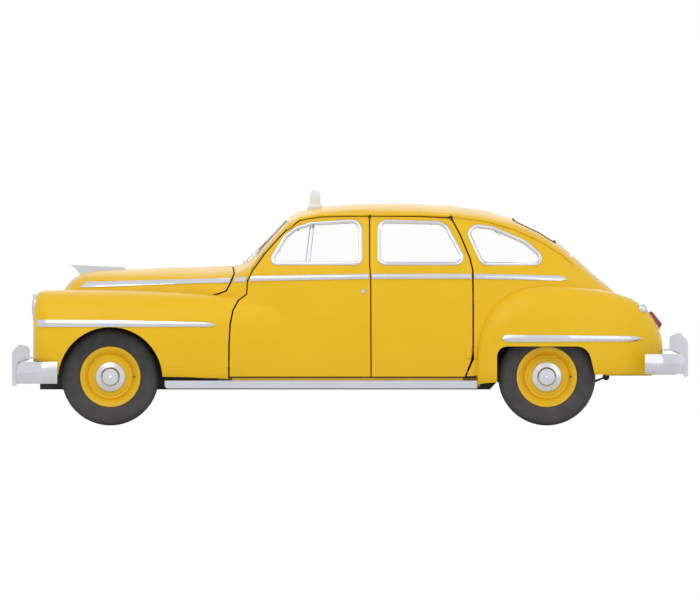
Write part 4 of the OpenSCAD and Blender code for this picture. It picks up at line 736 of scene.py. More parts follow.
@dataclass
class Panels:
    """The CAD panels, merged and shaded smooth in their finishes.

    Attributes:
        studio: The frame.
        crease: Angle in degrees above which a panel's edge stays sharp.
    """

    studio: Studio
    crease: float = 30.0

    # Where the fenders' inner faces are seen from outside: behind the tail's place, and ahead of and above
    # the nose's; there they keep the outer yellow, not the darker yellow of painted shade
    TAIL_X = 1.75
    NOSE_X = -1.75
    NOSE_Z = 0.6
    # Inner faces look toward the heart: its height, the weight of lengthwise distance and the least cosine
    HEART_Z = 0.9
    HEART_WEIGHT = 0.15
    INNER_COSINE = 0.25
    PAINTED = (
        "cowl", "rear_panel", "nose_panel", "hood", "trunk_lid",
        "front_fender_left", "front_fender_right", "rear_fender_left", "rear_fender_right",
    )
    DOORS = ("front_door_left", "front_door_right", "rear_door_left", "rear_door_right",
             "quarter_panel_left", "quarter_panel_right")
    BRIGHT = ("hood_ornament", "front_bumper", "rear_bumper", "running_boards", "grille")
    PLAIN = {
        Look.BLACK: ("chassis_frame", "front_suspension", "rear_axle", "leaf_springs", "exhaust", "fuel_tank",
                     "radiator", "knuckle_left", "knuckle_right"),
        Look.ENGINE: ("engine",),
        # These parts get the darker yellow, which is painted shade
        Look.INNER_PAINT: ("floor_pan", "firewall", "trunk_floor", "wheel_houses", "side_frame_left",
                           "side_frame_right"),
        Look.GLASS: ("front_door_glass_left", "front_door_glass_right", "rear_door_glass_left",
                     "rear_door_glass_right", "body_glass"),
        Look.DASH: ("dashboard",),
    }

    def build(self) -> None:
        """Builds every panel."""
        # Faces that point into the car get the darker yellow, which is painted shade
        for node in self.PAINTED:
            self.skin(node, Look.PAINT, Look.INNER_PAINT)
        for node in self.DOORS:
            self.skin(node, Look.PAINT, Look.TRIM)
        self.skin("roof", Look.PAINT, Look.HEADLINING)
        self.skin("roof_lamp", Look.OPAL)
        for node in self.BRIGHT:
            self.skin(node, Look.CHROME)
        for look, nodes in self.PLAIN.items():
            for node in nodes:
                mesh = self.studio.nodes[node].data
                mesh.materials.clear()
                mesh.materials.append(look.value.material())

    def skin(self, node: str, look: Look, inner: Look | None = None) -> bpy.types.Object:
        """Shows a CAD panel as a smooth piece.

        Args:
            node: The CAD node.
            look: Finish of its outer side.
            inner: Finish of the faces that point into the car, if they differ.

        Returns:
            The new piece.
        """
        shape = self.studio.copy(node)
        if inner:
            low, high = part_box(node)
            heart = Vector(((low.x + high.x) / 2, 0.0, self.HEART_Z))
            for face in shape.faces:
                where = face.calc_center_median()
                to_heart = Vector((self.HEART_WEIGHT * (heart.x - where.x), -where.y, heart.z - where.z))
                tail = node.startswith("rear_fender") and where.x > self.TAIL_X
                nose = node.startswith("front_fender") and where.x < self.NOSE_X and where.z > self.NOSE_Z
                inside = face.normal.dot(to_heart.normalized()) > self.INNER_COSINE
                if inside and not tail and not nose:
                    face.material_index = 1
        thing = self.studio.piece(f"{node}_skin", shape, [look] + ([inner] if inner else []),
                                  self.studio.body_of(node), self.crease)
        even = thing.modifiers.new("even_shading", "WEIGHTED_NORMAL")
        even.keep_sharp = True
        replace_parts(thing, node)
        return thing


@dataclass
class Moulding:
    """A strip laid on a panel between two lines of the elevation.

    Attributes:
        name: Name of the piece.
        body: The body that it rides on.
        panels: CAD nodes whose skin carries it.
        top: Its upper line, in pixels.
        bottom: Its lower line, in pixels.
        side: The side of the car that it is on.
        look: Its finish.
        proud: How far its middle stands off the skin.
        thickness: Thickness of the strip.
        along: Number of faces along it.
    """

    name: str
    body: str
    panels: tuple[str, ...]
    top: Sequence[Point]
    bottom: Sequence[Point]
    side: Side
    look: Look = Look.CHROME
    proud: float = 7 * MILLIMETRE
    thickness: float = 5 * MILLIMETRE
    along: int = 56

    CROSS = 6
    EDGE_SHARE = 0.2

    def build(self, studio: Studio) -> bpy.types.Object:
        """Builds the strip with a crowned section, and returns it."""
        skin = Skin(studio, *self.panels)

        def place(u: float, v: float) -> Vector:
            x, z = studio.at(along_line(self.top, u).lerp(along_line(self.bottom, u), v))
            crown = self.EDGE_SHARE + (1 - self.EDGE_SHARE) * math.sin(math.pi * v)
            return Vector((x, skin.y(x, z, self.side) + self.side.value * self.proud * crown, z))

        shape = laid_grid(place, self.along, self.CROSS, self.thickness)
        return studio.piece(f"{self.name}_{self.side.word}", shape, [self.look], self.body, 40.0)


@dataclass
class WindowSurround:
    """A bright frame round a side window.

    Attributes:
        name: Name of the piece.
        body: The body that it rides on.
        panels: CAD nodes whose skin carries it.
        opening: The window's outline.
        side: The side of the car that it is on.
    """

    name: str
    body: str
    panels: tuple[str, ...]
    opening: Outline
    side: Side

    # Across the frame: pixels outward from the opening, and metres outward from the skin
    SECTION = (
        (-0.1, -0.010), (0.2, 0.003), (0.9, 0.006), (1.9, 0.0075), (2.9, 0.006), (3.6, 0.003), (3.8, -0.002))
    THICKNESS = 2.5 * MILLIMETRE
    SAMPLE_PX = (0.8, 1.8, 2.8, 3.8)

    def build(self, studio: Studio) -> bpy.types.Object:
        """Builds the frame as one closed strip, and returns it."""
        skin = Skin(studio, *self.panels)
        rings = [self.opening.ring(out) for out, _ in self.SECTION]
        sampled = [max((skin.y(*studio.at(p), self.side) for p in near), key=abs)
                   for near in zip(*(self.opening.ring(out) for out in self.SAMPLE_PX))]
        count, last = len(rings[0]), len(self.SECTION) - 1

        def place(u: float, v: float) -> Vector:
            i, k = round(u * count) % count, round(v * last)
            x, z = studio.at(rings[k][i])
            return Vector((x, sampled[i] + self.side.value * self.SECTION[k][1], z))

        shape = laid_grid(place, count, last, self.THICKNESS, closed=True)
        return studio.piece(f"{self.name}_{self.side.word}", shape, [Look.CHROME], self.body, 50.0)


@dataclass
class Seal:
    """A rubber strip behind the gap along one edge of a door.

    Attributes:
        name: Name of the piece.
        body: The body that it rides on.
        door: The door whose edge it seals.
        edge: The edge in the elevation, with the door on its right.
        side: The side of the car that it is on.
    """

    name: str
    body: str
    door: str
    edge: Sequence[Point]
    side: Side

    SPREAD_PX = (-1.8, 2.2)
    INSIDE_PX = -1.2
    DEPTH = 20 * MILLIMETRE
    THICKNESS = 8 * MILLIMETRE
    ALONG = 40

    def build(self, studio: Studio) -> bpy.types.Object:
        """Builds the strip, and returns it."""
        skin = Skin(studio, self.door)

        def beside(u: float, out: float) -> Vector:
            step = along_line(self.edge, min(u + 0.02, 1.0)) - along_line(self.edge, max(u - 0.02, 0.0))
            return along_line(self.edge, u) + Vector((step.y, -step.x)).normalized() * out

        def place(u: float, v: float) -> Vector:
            x, z = studio.at(beside(u, self.SPREAD_PX[0] + (self.SPREAD_PX[1] - self.SPREAD_PX[0]) * v))
            y = skin.y(*studio.at(beside(u, self.INSIDE_PX)), self.side)
            depth = self.DEPTH + self.THICKNESS * math.sin(math.pi * v) / 4
            return Vector((x, y - self.side.value * depth, z))

        shape = laid_grid(place, self.ALONG, 4, self.THICKNESS)
        return studio.piece(f"{self.name}_{self.side.word}", shape, [Look.SEAL], self.body)


class BodyTrim:
    """Bright mouldings, window frames and seals of the body and the doors."""

    FRONT_WINDOW = Outline((
        (272, 261.8, 3), (286.4, 238.2, 12), (296.5, 230.3, 12), (312, 225.4, 20),
        (358.8, 222.8, 7), (358.8, 262, 4)))
    REAR_WINDOW = Outline(((380.9, 262, 5), (380.9, 223.2, 6), (443.2, 224.6, 13), (463.6, 262, 5)))
    QUARTER_WINDOW = Outline((
        (484, 262.2, 7), (467.2, 226.6, 6), (492, 229.8, 30), (524, 243.6, 30), (545, 262.4, 4)))
    # Belt moulding, one run for each panel: name, node, upper line, lower line
    BELT = (
        ("hood_belt", "hood", ((86.6, 282.3), (231.2, 278.4)), ((79.2, 287.7), (229.8, 282.4))),
        ("cowl_belt", "cowl", ((235.6, 278.2), (246.6, 276.9)), ((234.6, 282.2), (246.2, 281.4))),
        ("front_door_belt", "front_door", ((250.9, 276.4), (300, 275.2), (368.3, 274.3)),
         ((249, 281.2), (260, 280.6), (368.5, 278.6))),
        ("rear_door_belt", "rear_door", ((371.9, 274.3), (440, 274.2), (471.4, 274.3)),
         ((371.9, 278.6), (440, 278.4), (471.5, 278.5))),
        ("quarter_belt", "quarter_panel",
         ((474.4, 274.3), (520, 275), (559.7, 276.3), (564.5, 277.6), (566.5, 279.6)),
         ((474.4, 278.6), (520, 279.3), (555, 280.6), (563, 280.7), (566.5, 279.6))),
    )
    SPEARS = (
        ("front_fender_spear", "front_fender",
         ((37.2, 320), (120, 320.6), (208, 322.6), (212.5, 323.8), (214.4, 325)),
         ((37.2, 326.7), (120, 326.7), (208, 326.6), (212.5, 326), (214.4, 325))),
        ("rear_fender_spear", "rear_fender",
         ((502.7, 338.5), (504.4, 336), (508, 335.1), (570, 335.6), (632, 336.4), (638, 337.2),
          (641.2, 338.9)),
         ((502.7, 338.5), (504.4, 341), (508, 342), (570, 341.6), (632, 341), (638, 340.4), (641.2, 338.9))),
    )
    COVER_PX = (466.2, 471.4, 474.2, 477.4)
    COVER_PY = (358.3, 346.7)
    COVER_SUNK = 2 * MILLIMETRE
    COVER_PROUD = 10 * MILLIMETRE
    COVER_ROUND = 4 * MILLIMETRE
    FOOT_SPOT = (475.0, 366.0)
    FOOT_THICKNESS = 8 * MILLIMETRE
    LOCK_SPOT = (363.0, 291.3)
    LOCK_RADIUS_PX = 2.6
    FOOT_PX = ((474.6, 360.0), (473.6, 360.0), (466.6, 376.2), (474.6, 376.2))
    PATCH_PX = (235.6, 243.4)
    PATCH_PY = (364.6, 370.4)
    VENT_POST = (((310.3, 224.6), (305.7, 262.4)), ((314.2, 224.2), (309.6, 262.4)))
    DRIP_LINE = ((287, 229.2), (300, 219.4), (319.6, 216), (345, 215.3), (420, 215.3), (451, 216.7))
    DRIP_HEIGHT_PX = 1.7
    SEAM_LINE = ((451, 216.7), (485, 221.2), (515, 229.6), (540, 241.2), (560, 253.4), (572, 263.4))
    PILLAR_EDGE = ((248.4, 280), (252.8, 271.6), (265.6, 253.8), (279, 238.6), (288, 229.6))
    TOP_EDGE = ((288, 229.6), (300.2, 220.9), (319.6, 217.6), (345, 216.9), (370.6, 216.7))
    REAR_TOP_EDGE = ((369.4, 216.7), (420, 217), (451.6, 218.6))
    REAR_EDGE = ((449.8, 217.2), (459.6, 235.4), (468, 256))

    def __init__(self, studio: Studio) -> None:
        """Keeps the frame."""
        self.studio = studio

    def build(self) -> None:
        """Builds the trim of both sides."""
        for side in Side:
            for name, node, top, bottom in (*self.BELT, *self.SPEARS):
                panel = self.panel(node, side)
                Moulding(name, self.studio.body_of(panel), (panel,), top, bottom, side).build(self.studio)
            self.windows(side)
            self.seals(side)
            self.drip_rail(side)
            self.lock_button(side)
            self.hinge_cover(side)
            self.hinge_patch(side)

    def hinge_patch(self, side: Side) -> None:
        """Closes a front door's skin over its lower hinge."""
        door = self.panel("front_door", side)
        skin = Skin(self.studio, door)

        def place(u: float, v: float) -> Vector:
            px = self.PATCH_PX[0] + (self.PATCH_PX[1] - self.PATCH_PX[0]) * u
            ends = [self.studio.at((px, py)) for py in self.PATCH_PY]
            ys = [skin.y(x, z, side) for x, z in ends]
            lift = side.value * (0.3 + 1.2 * math.sin(math.pi * v)) * MILLIMETRE
            z = ends[0][1] + (ends[1][1] - ends[0][1]) * v
            return Vector((ends[0][0], ys[0] + (ys[1] - ys[0]) * v + lift, z))

        shape = laid_grid(place, 12, 8, 2 * MILLIMETRE)
        self.studio.piece(f"hinge_patch_{side.word}", shape, [Look.PAINT], self.studio.body_of(door), 60.0)

    def panel(self, node: str, side: Side) -> str:
        """The node of that name on a side, where it has one on each."""
        return node if node in self.studio.nodes else f"{node}_{side.word}"

    def windows(self, side: Side) -> None:
        """Frames the windows of a side, and adds the front window's upright."""
        front, rear, quarter = (self.panel(n, side) for n in ("front_door", "rear_door", "quarter_panel"))
        frames = (
            ("front_window_frame", front, (front,), self.FRONT_WINDOW),
            ("rear_window_frame", rear, (rear,), self.REAR_WINDOW),
            ("quarter_window_frame", quarter, (quarter, "roof"), self.QUARTER_WINDOW),
        )
        for name, node, panels, opening in frames:
            WindowSurround(name, self.studio.body_of(node), panels, opening, side).build(self.studio)
        glass = self.panel("front_door_glass", side)
        Moulding("vent_post", self.studio.body_of(front), (glass,), *self.VENT_POST, side,
                 proud=9 * MILLIMETRE, thickness=8 * MILLIMETRE, along=10).build(self.studio)

    def seals(self, side: Side) -> None:
        """Lays the seals of a side's doors, on the edges that swing outward."""
        front, rear = self.panel("front_door", side), self.panel("rear_door", side)
        runs = (
            ("pillar_seal", front, self.PILLAR_EDGE), ("front_top_seal", front, self.TOP_EDGE),
            ("rear_top_seal", rear, self.REAR_TOP_EDGE), ("rear_edge_seal", rear, self.REAR_EDGE),
        )
        for name, door, edge in runs:
            Seal(name, "car_body", door, edge, side).build(self.studio)

    def drip_rail(self, side: Side) -> None:
        """Runs the drip rail over a side's doors and on along the seam of the roof."""
        quarter = self.panel("quarter_panel", side)
        for name, line, panels, proud in (
                ("drip_rail", self.DRIP_LINE, ("roof", "cowl"), 15 * MILLIMETRE),
                ("roof_seam", self.SEAM_LINE, ("roof", quarter), 9 * MILLIMETRE)):
            top = [(x, y - self.DRIP_HEIGHT_PX) for x, y in line]
            Moulding(name, "car_body", panels, top, line, side, Look.PAINT, proud, 6 * MILLIMETRE,
                     80).build(self.studio)

    def lock_button(self, side: Side) -> None:
        """Sets the round lock in a front door."""
        door = self.panel("front_door", side)
        x, z = self.studio.at(self.LOCK_SPOT)
        y = Skin(self.studio, door).y(x, z, side)
        radius = self.LOCK_RADIUS_PX * self.studio.scale_x
        profile = (
            (0.0, 0.007), (radius * 0.38, 0.007), (radius * 0.42, 0.009), (radius * 0.7, 0.009),
            (radius * 0.9, 0.006), (radius, 0.0), (radius, -0.004), (0.0, -0.004))
        shape = placed(turned(profile, 40), Vector((x, y, z)), Vector((0, side.value, 0)))
        self.studio.piece(f"door_lock_{side.word}", shape, [Look.CHROME], self.studio.body_of(door))

    def hinge_cover(self, side: Side) -> None:
        """Sets the two halves of a rear door's lower hinge cover, and the foot below them."""
        quarter, door = self.panel("quarter_panel", side), self.panel("rear_door", side)
        for node, ends in ((door, self.COVER_PX[:2]), (quarter, self.COVER_PX[2:])):
            (x0, z0), (x1, z1) = (self.studio.at(place) for place in zip(ends, self.COVER_PY))
            y = Skin(self.studio, node).y((x0 + x1) / 2, (z0 + z1) / 2, side)
            ys = sorted((y - side.value * self.COVER_SUNK, y + side.value * self.COVER_PROUD))
            cover = block(Vector((x0, ys[0], z0)), Vector((x1, ys[1], z1)), self.COVER_ROUND)
            self.studio.piece(f"{node}_hinge_cover", cover, [Look.PAINT], self.studio.body_of(node))
        y = Skin(self.studio, quarter).y(*self.studio.at(self.FOOT_SPOT), side)
        foot = plate(self.studio, self.FOOT_PX, y, -side.value * self.FOOT_THICKNESS)
        self.studio.piece(f"hinge_foot_{side.word}", foot, [Look.PAINT], "car_body")


class GlassTrim:
    """Frames of the windshield's two panes and of the rear window, the wipers and the mirror."""

    PANE_PY = (254.5, 221.5)
    PANE_SHARES = (0.70, 0.66)
    POST = 16 * MILLIMETRE
    CORNER = 45 * MILLIMETRE
    REAR_PX = (515.0, 553.0)
    REAR_SHARE = 0.47
    REAR_CORNER = 60 * MILLIMETRE
    SPAN = 25 * MILLIMETRE
    # Across a frame: metres outward from the opening and off the skin
    SECTION = (
        (-0.001, -0.010), (0.002, 0.003), (0.008, 0.006), (0.015, 0.006), (0.021, 0.003), (0.023, -0.002))
    LEAST_OUT = 4 * MILLIMETRE
    # A wiper: its boss, and the places of boss, blade tip and blade heel as Y and pixels of height
    BOSS = ((0.0, 0.022), (0.011, 0.02), (0.016, 0.012), (0.019, 0.0), (0.019, -0.01), (0.0, -0.01))
    BOSS_AXIS = Vector((-0.55, 0, 0.83))
    BOSS_SPOT = (0.16, 262.5)
    BLADE_TIP = (0.47, 236.0)
    BLADE_HEEL = (0.05, 250.5)
    WIPER_LIFT = 12 * MILLIMETRE
    ARM = (7 * MILLIMETRE, 4 * MILLIMETRE)
    BLADE = (6 * MILLIMETRE, 12 * MILLIMETRE)
    MIRROR_SPOT = (299, 227.5)

    def __init__(self, studio: Studio) -> None:
        """Keeps the frame and the skin that the frames lie on."""
        self.studio = studio
        self.skin = Skin(studio, "cowl", "roof")
        self.glass = Skin(studio, "body_glass")

    def build(self) -> None:
        """Builds all of it."""
        for side in Side:
            self.frame(f"windshield_frame_{side.word}", self.pane(side), self.from_ahead, Look.CHROME)
            self.wiper(side)
        self.frame("rear_window_frame", self.rear_pane(), self.from_above, Look.SEAL)
        self.mirror()

    def pane(self, side: Side) -> Outline:
        """The outline of one windshield pane, as Y and Z."""
        low, top = (self.studio.at((0, py))[1] for py in self.PANE_PY)
        wide = [side.value * share * self.studio.half for share in self.PANE_SHARES]
        post = side.value * self.POST
        return Outline((
            (post, low, self.CORNER / 3), (wide[0], low, self.CORNER),
            (wide[1], top, self.CORNER), (post, top, self.CORNER / 3)))

    def rear_pane(self) -> Outline:
        """The outline of the rear window in plan, as X and Y."""
        x0, x1 = (self.studio.at((px, 0))[0] for px in self.REAR_PX)
        half, r = self.REAR_SHARE * self.studio.half, self.REAR_CORNER
        return Outline(((x0, -half, r), (x1, -half, r), (x1, half, r), (x0, half, r)))

    def from_ahead(self, place: Vector) -> tuple[Vector, Vector]:
        """The skin at a Y and a Z, seen from ahead, with its normal."""
        start = Vector((-2.0, place.x, place.y))
        hit = self.skin.tree.ray_cast(start, Vector((1, 0, 0)))
        return (hit[0], hit[1]) if hit[0] else self.skin.tree.find_nearest(start)[:2]

    def from_above(self, place: Vector) -> tuple[Vector, Vector]:
        """The skin at an X and a Y, seen from above, with its normal."""
        start = Vector((place.x, place.y, 3.0))
        hit = self.skin.tree.ray_cast(start, Vector((0, 0, -1)))
        return (hit[0], hit[1]) if hit[0] else self.skin.tree.find_nearest(start)[:2]

    def frame(self, name: str, opening: Outline, look_at: Callable[[Vector], tuple[Vector, Vector]],
              look: Look) -> None:
        """Builds the frame round a pane.

        Args:
            name: Name of the piece.
            opening: The pane's outline.
            look_at: Finds the skin at a point of the outline.
            look: Finish of the frame.
        """
        lines = [opening.points()] + [opening.ring(max(out, self.LEAST_OUT)) for out, _ in self.SECTION]
        base, *rings = self.filled(lines)
        count, last = len(base), len(self.SECTION) - 1

        def place(u: float, v: float) -> Vector:
            i, k = round(u * count) % count, round(v * last)
            point, normal = look_at(rings[k][i])
            inward = (base[i] - rings[k][i]) * (1.0 if k == 0 else 0.0)
            ahead = look_at == self.from_ahead
            shift = Vector((0, inward.x, inward.y)) if ahead else Vector((inward.x, inward.y, 0))
            return point + shift + normal * self.SECTION[k][1]

        shape = laid_grid(place, count, last, 2 * MILLIMETRE, closed=True)
        self.studio.piece(name, shape, [look], "car_body", 50.0)

    def filled(self, rings: list[list[Vector]]) -> list[list[Vector]]:
        """Adds points on the long spans of closed lines, so that they can follow a curved skin.

        Args:
            rings: Lines with the same number of points.

        Returns:
            The filled lines, again with the same number of points.
        """
        spans = [list(zip(ring, ring[1:] + ring[:1])) for ring in rings]
        counts = [max(1, round((end - start).length / self.SPAN)) for start, end in spans[0]]
        return [
            [start.lerp(end, k / n) for (start, end), n in zip(span, counts) for k in range(n)]
            for span in spans
        ]

    def wiper(self, side: Side) -> None:
        """Lays a wiper on its pane, from a boss on the cowl."""
        lift = self.WIPER_LIFT
        y, py = self.BOSS_SPOT
        boss, _ = self.from_ahead(Vector((side.value * y, self.studio.at((0, py))[1])))
        off = Vector((-lift, 0, lift))
        tip, low = (self.on_glass(side.value * y, py) + off for y, py in (self.BLADE_TIP, self.BLADE_HEEL))
        middle = low.lerp(tip, 0.5)
        base = placed(turned(self.BOSS, 24), boss, self.BOSS_AXIS)
        arm = self.bar(boss + Vector((0, 0, lift)), middle, *self.ARM)
        parts = [base, arm, self.bar(low, tip, *self.BLADE)]
        self.studio.piece(f"wiper_{side.word}", joined(parts), [Look.CHROME], "car_body")

    def on_glass(self, y: float, py: float) -> Vector:
        """The windshield's outer face at a Y and a height in pixels."""
        start = Vector((-2.0, y, self.studio.at((0, py))[1]))
        hit = self.glass.tree.ray_cast(start, Vector((1, 0, 0)))[0]
        return hit or self.glass.tree.find_nearest(start)[0]

    @staticmethod
    def bar(start: Vector, end: Vector, width: float, height: float) -> bmesh.types.BMesh:
        """A slim bar with rounded edges between two places.

        Args:
            start: Its first end.
            end: Its other end.
            width: Its width.
            height: Its height.

        Returns:
            The new shape.
        """
        long = (end - start).length
        shape = block(Vector((-width / 2, -height / 2, 0)), Vector((width / 2, height / 2, long)),
                      min(width, height) * 0.3, 2)
        return placed(shape, start, end - start)

    def mirror(self) -> None:
        """Hangs the rear-view mirror from the header."""
        x, z = self.studio.at(self.MIRROR_SPOT)
        back = block(Vector((x - 0.012, -0.11, z - 0.026)), Vector((x, 0.11, z + 0.026)), 0.01)
        face = block(Vector((x - 0.001, -0.1, z - 0.019)), Vector((x + 0.003, 0.1, z + 0.019)), 0.001, 1)
        for part in face.faces:
            part.material_index = 1
        stem = self.bar(Vector((x - 0.006, 0, z)), Vector((x - 0.05, 0, z + 0.075)), 0.01, 0.01)
        self.studio.piece("rear_view_mirror", joined((back, face, stem)),
                          [Look.DASH, Look.CHROME], "car_body")


@dataclass
class RoadWheel:
    """One wheel with its hub cap, valve and tyre.

    Attributes:
        studio: The frame.
        corner: The corner that its node names end in.
        cap_radius: Radius of the bright hub cap.
        slots: Number of slots round each shoulder of the tread.
    """

    studio: Studio
    corner: str
    cap_radius: float = 113 * MILLIMETRE
    slots: int = 56

    # The tyre's section: bead over outer radius, roundness, and the angles that one sidewall runs through
    BEAD_SHARE = 0.567
    POWER = 0.62
    SIDEWALL = (-55.0, 62.0)
    WALL_STEPS = 20
    # Grooves of the tread, as shares of half the width
    GROOVES = (0.40, 0.13, -0.13, -0.40)
    GROOVE_HALF = 0.042
    GROOVE_DEPTH = 8 * MILLIMETRE
    SHOULDER = (0.45, 0.66)
    SLOT_DEPTH = 6 * MILLIMETRE
    VALVE = ((0.0, 0.03), (0.0035, 0.029), (0.004, 0.012), (0.006, 0.01), (0.006, 0.0), (0.0, 0.0))
    VALVE_RADIUS = 178 * MILLIMETRE
    # Shares of half the width: how far out the cap starts, the valve's place and the tread's edge
    CAP_OUT = 0.4
    VALVE_OUT = 0.42
    TREAD_EDGE = 0.53
    # Share of the radius above which a slot may cut
    SLOT_FLOOR = 0.95

    def __post_init__(self) -> None:
        """Takes the wheel's place and size from its tyre."""
        low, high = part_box(f"tyre_{self.corner}")
        self.centre = (low + high) / 2
        self.radius = (high.z - low.z) / 2
        self.half = (high.y - low.y) / 2
        self.axis = Vector((0.0, math.copysign(1.0, self.centre.y), 0.0))

    def build(self) -> None:
        """Builds the disc and the tyre."""
        self.disc()
        self.tyre()

    def disc(self) -> None:
        """Shows the wheel with a bright hub cap and a valve."""
        node = f"wheel_{self.corner}"
        shape = self.studio.copy(node)
        for face in shape.faces:
            out = face.calc_center_median() - self.centre
            if math.hypot(out.x, out.z) < self.cap_radius and out.dot(self.axis) > self.half * self.CAP_OUT:
                face.material_index = 1
        place = self.centre + Vector((self.VALVE_RADIUS, 0.0, 0.0)) + self.axis * self.half * self.VALVE_OUT
        valve = coloured(placed(turned(self.VALVE, 12), place, self.axis), 2)
        looks = [Look.WHEEL_PAINT, Look.CHROME, Look.SEAL]
        thing = self.studio.piece(f"{node}_disc", joined((shape, valve)), looks,
                                  self.studio.body_of(node), 24.0)
        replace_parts(thing, node)

    def crown(self, across: float) -> float:
        """Radius of the tread at a place across it."""
        bead = self.radius * self.BEAD_SHARE
        cosine = min(abs(across) / self.half, 1.0) ** (1 / self.POWER)
        return (bead + self.radius) / 2 + (self.radius - bead) / 2 * math.sqrt(1 - cosine ** 2) ** self.POWER

    def section(self) -> list[Point]:
        """The tyre's closed section as radii and places across it."""
        bead = self.radius * self.BEAD_SHARE
        middle, high = (bead + self.radius) / 2, (self.radius - bead) / 2
        wall = []
        for i in range(self.WALL_STEPS + 1):
            low_angle, high_angle = self.SIDEWALL
            angle = math.radians(low_angle + (high_angle - low_angle) * i / self.WALL_STEPS)
            sine, cosine = math.sin(angle), math.cos(angle)
            rise = math.copysign(abs(sine) ** self.POWER, sine)
            wall.append((middle + high * rise, self.half * cosine ** self.POWER))
        edge = self.half * self.TREAD_EDGE
        tread = [(self.crown(edge), edge)]
        for groove in self.GROOVES:
            for share, depth in ((1.0, 0.0), (0.6, 1.0), (-0.6, 1.0), (-1.0, 0.0)):
                across = self.half * (groove + share * self.GROOVE_HALF)
                tread.append((self.crown(across) - depth * self.GROOVE_DEPTH, across))
        tread.append((tread[0][0], -tread[0][1]))
        other = [(radius, -across) for radius, across in reversed(wall)]
        return wall + tread + other + wall[:1]

    def tyre(self) -> None:
        """Spins the tyre, and cuts the slots of its shoulders."""
        node = f"tyre_{self.corner}"
        columns = self.slots * 4
        shape = turned(self.section(), columns)
        for vertex in shape.verts:
            column = round(math.atan2(vertex.co.y, vertex.co.x) / math.tau * columns) % 4
            share = abs(vertex.co.z) / self.half
            radius = math.hypot(vertex.co.x, vertex.co.y)
            on_shoulder = self.SHOULDER[0] < share < self.SHOULDER[1]
            if column == 0 and on_shoulder and radius > self.radius * self.SLOT_FLOOR:
                vertex.co.xy *= 1 - self.SLOT_DEPTH / radius
        thing = self.studio.piece(f"{node}_treaded", placed(shape, self.centre, self.axis), [Look.RUBBER],
                                  self.studio.body_of(node), 30.0)
        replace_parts(thing, node)


class Lamps:
    """Headlamps and tail lamps."""

    # Sections as shares of the lamp's radius and depth: shell with reflector and rim, lens, bulb
    SHELL = ((0.0, 0.66), (0.25, 0.63), (0.5, 0.52), (0.7, 0.35), (0.84, 0.13), (0.85, 0.07), (0.90, 0.05),
             (0.96, 0.08), (1.0, 0.16), (1.0, 0.5), (0.577, 1.0), (0.0, 1.0))
    LENS = ((0.0, 0.0), (0.3, 0.006), (0.6, 0.045), (0.85, 0.10),
            (0.85, 0.125), (0.6, 0.066), (0.3, 0.028), (0.0, 0.02))
    BULB = ((0.0, 0.2), (0.06, 0.22), (0.1, 0.28), (0.09, 0.36), (0.06, 0.44), (0.06, 0.64), (0.0, 0.64))
    TAIL_AXIS = Vector((0.788, 0.0, 0.616))
    HOUSING_COSINE = 0.35

    def __init__(self, studio: Studio) -> None:
        """Keeps the frame."""
        self.studio = studio

    def build(self) -> None:
        """Builds all lamps."""
        self.headlamps()
        self.tail_lamps()

    def headlamps(self) -> None:
        """Builds both headlamps with rim, reflector, bulb and lens."""
        low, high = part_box("headlamps")
        radius, depth = (high.z - low.z) / 2, high.x - low.x

        def part(section: Sequence[Point], number: int) -> list[bmesh.types.BMesh]:
            profile = [(r * radius, h * depth) for r, h in section]
            places = [Vector((low.x, side.value * (high.y - radius), (low.z + high.z) / 2)) for side in Side]
            return [coloured(placed(turned(profile, 64), place, Vector((1, 0, 0))), number)
                    for place in places]

        shells = joined(part(self.SHELL, 0) + part(self.BULB, 1))
        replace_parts(self.studio.piece("headlamp_shells", shells, [Look.CHROME, Look.OPAL], "car_body"),
                    "headlamps")
        self.studio.piece("headlamp_lenses", joined(part(self.LENS, 0)), [Look.LENS], "car_body")

    def tail_lamps(self) -> None:
        """Shows the tail lamps as red lenses in bright housings."""
        shape = self.studio.copy("tail_lamps")
        for face in shape.faces:
            face.material_index = 1 if abs(face.normal.dot(self.TAIL_AXIS)) < self.HOUSING_COSINE else 0
        thing = self.studio.piece("tail_lamps_fitted", shape, [Look.RED_LENS, Look.CHROME], "car_body", 40.0)
        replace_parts(thing, "tail_lamps")


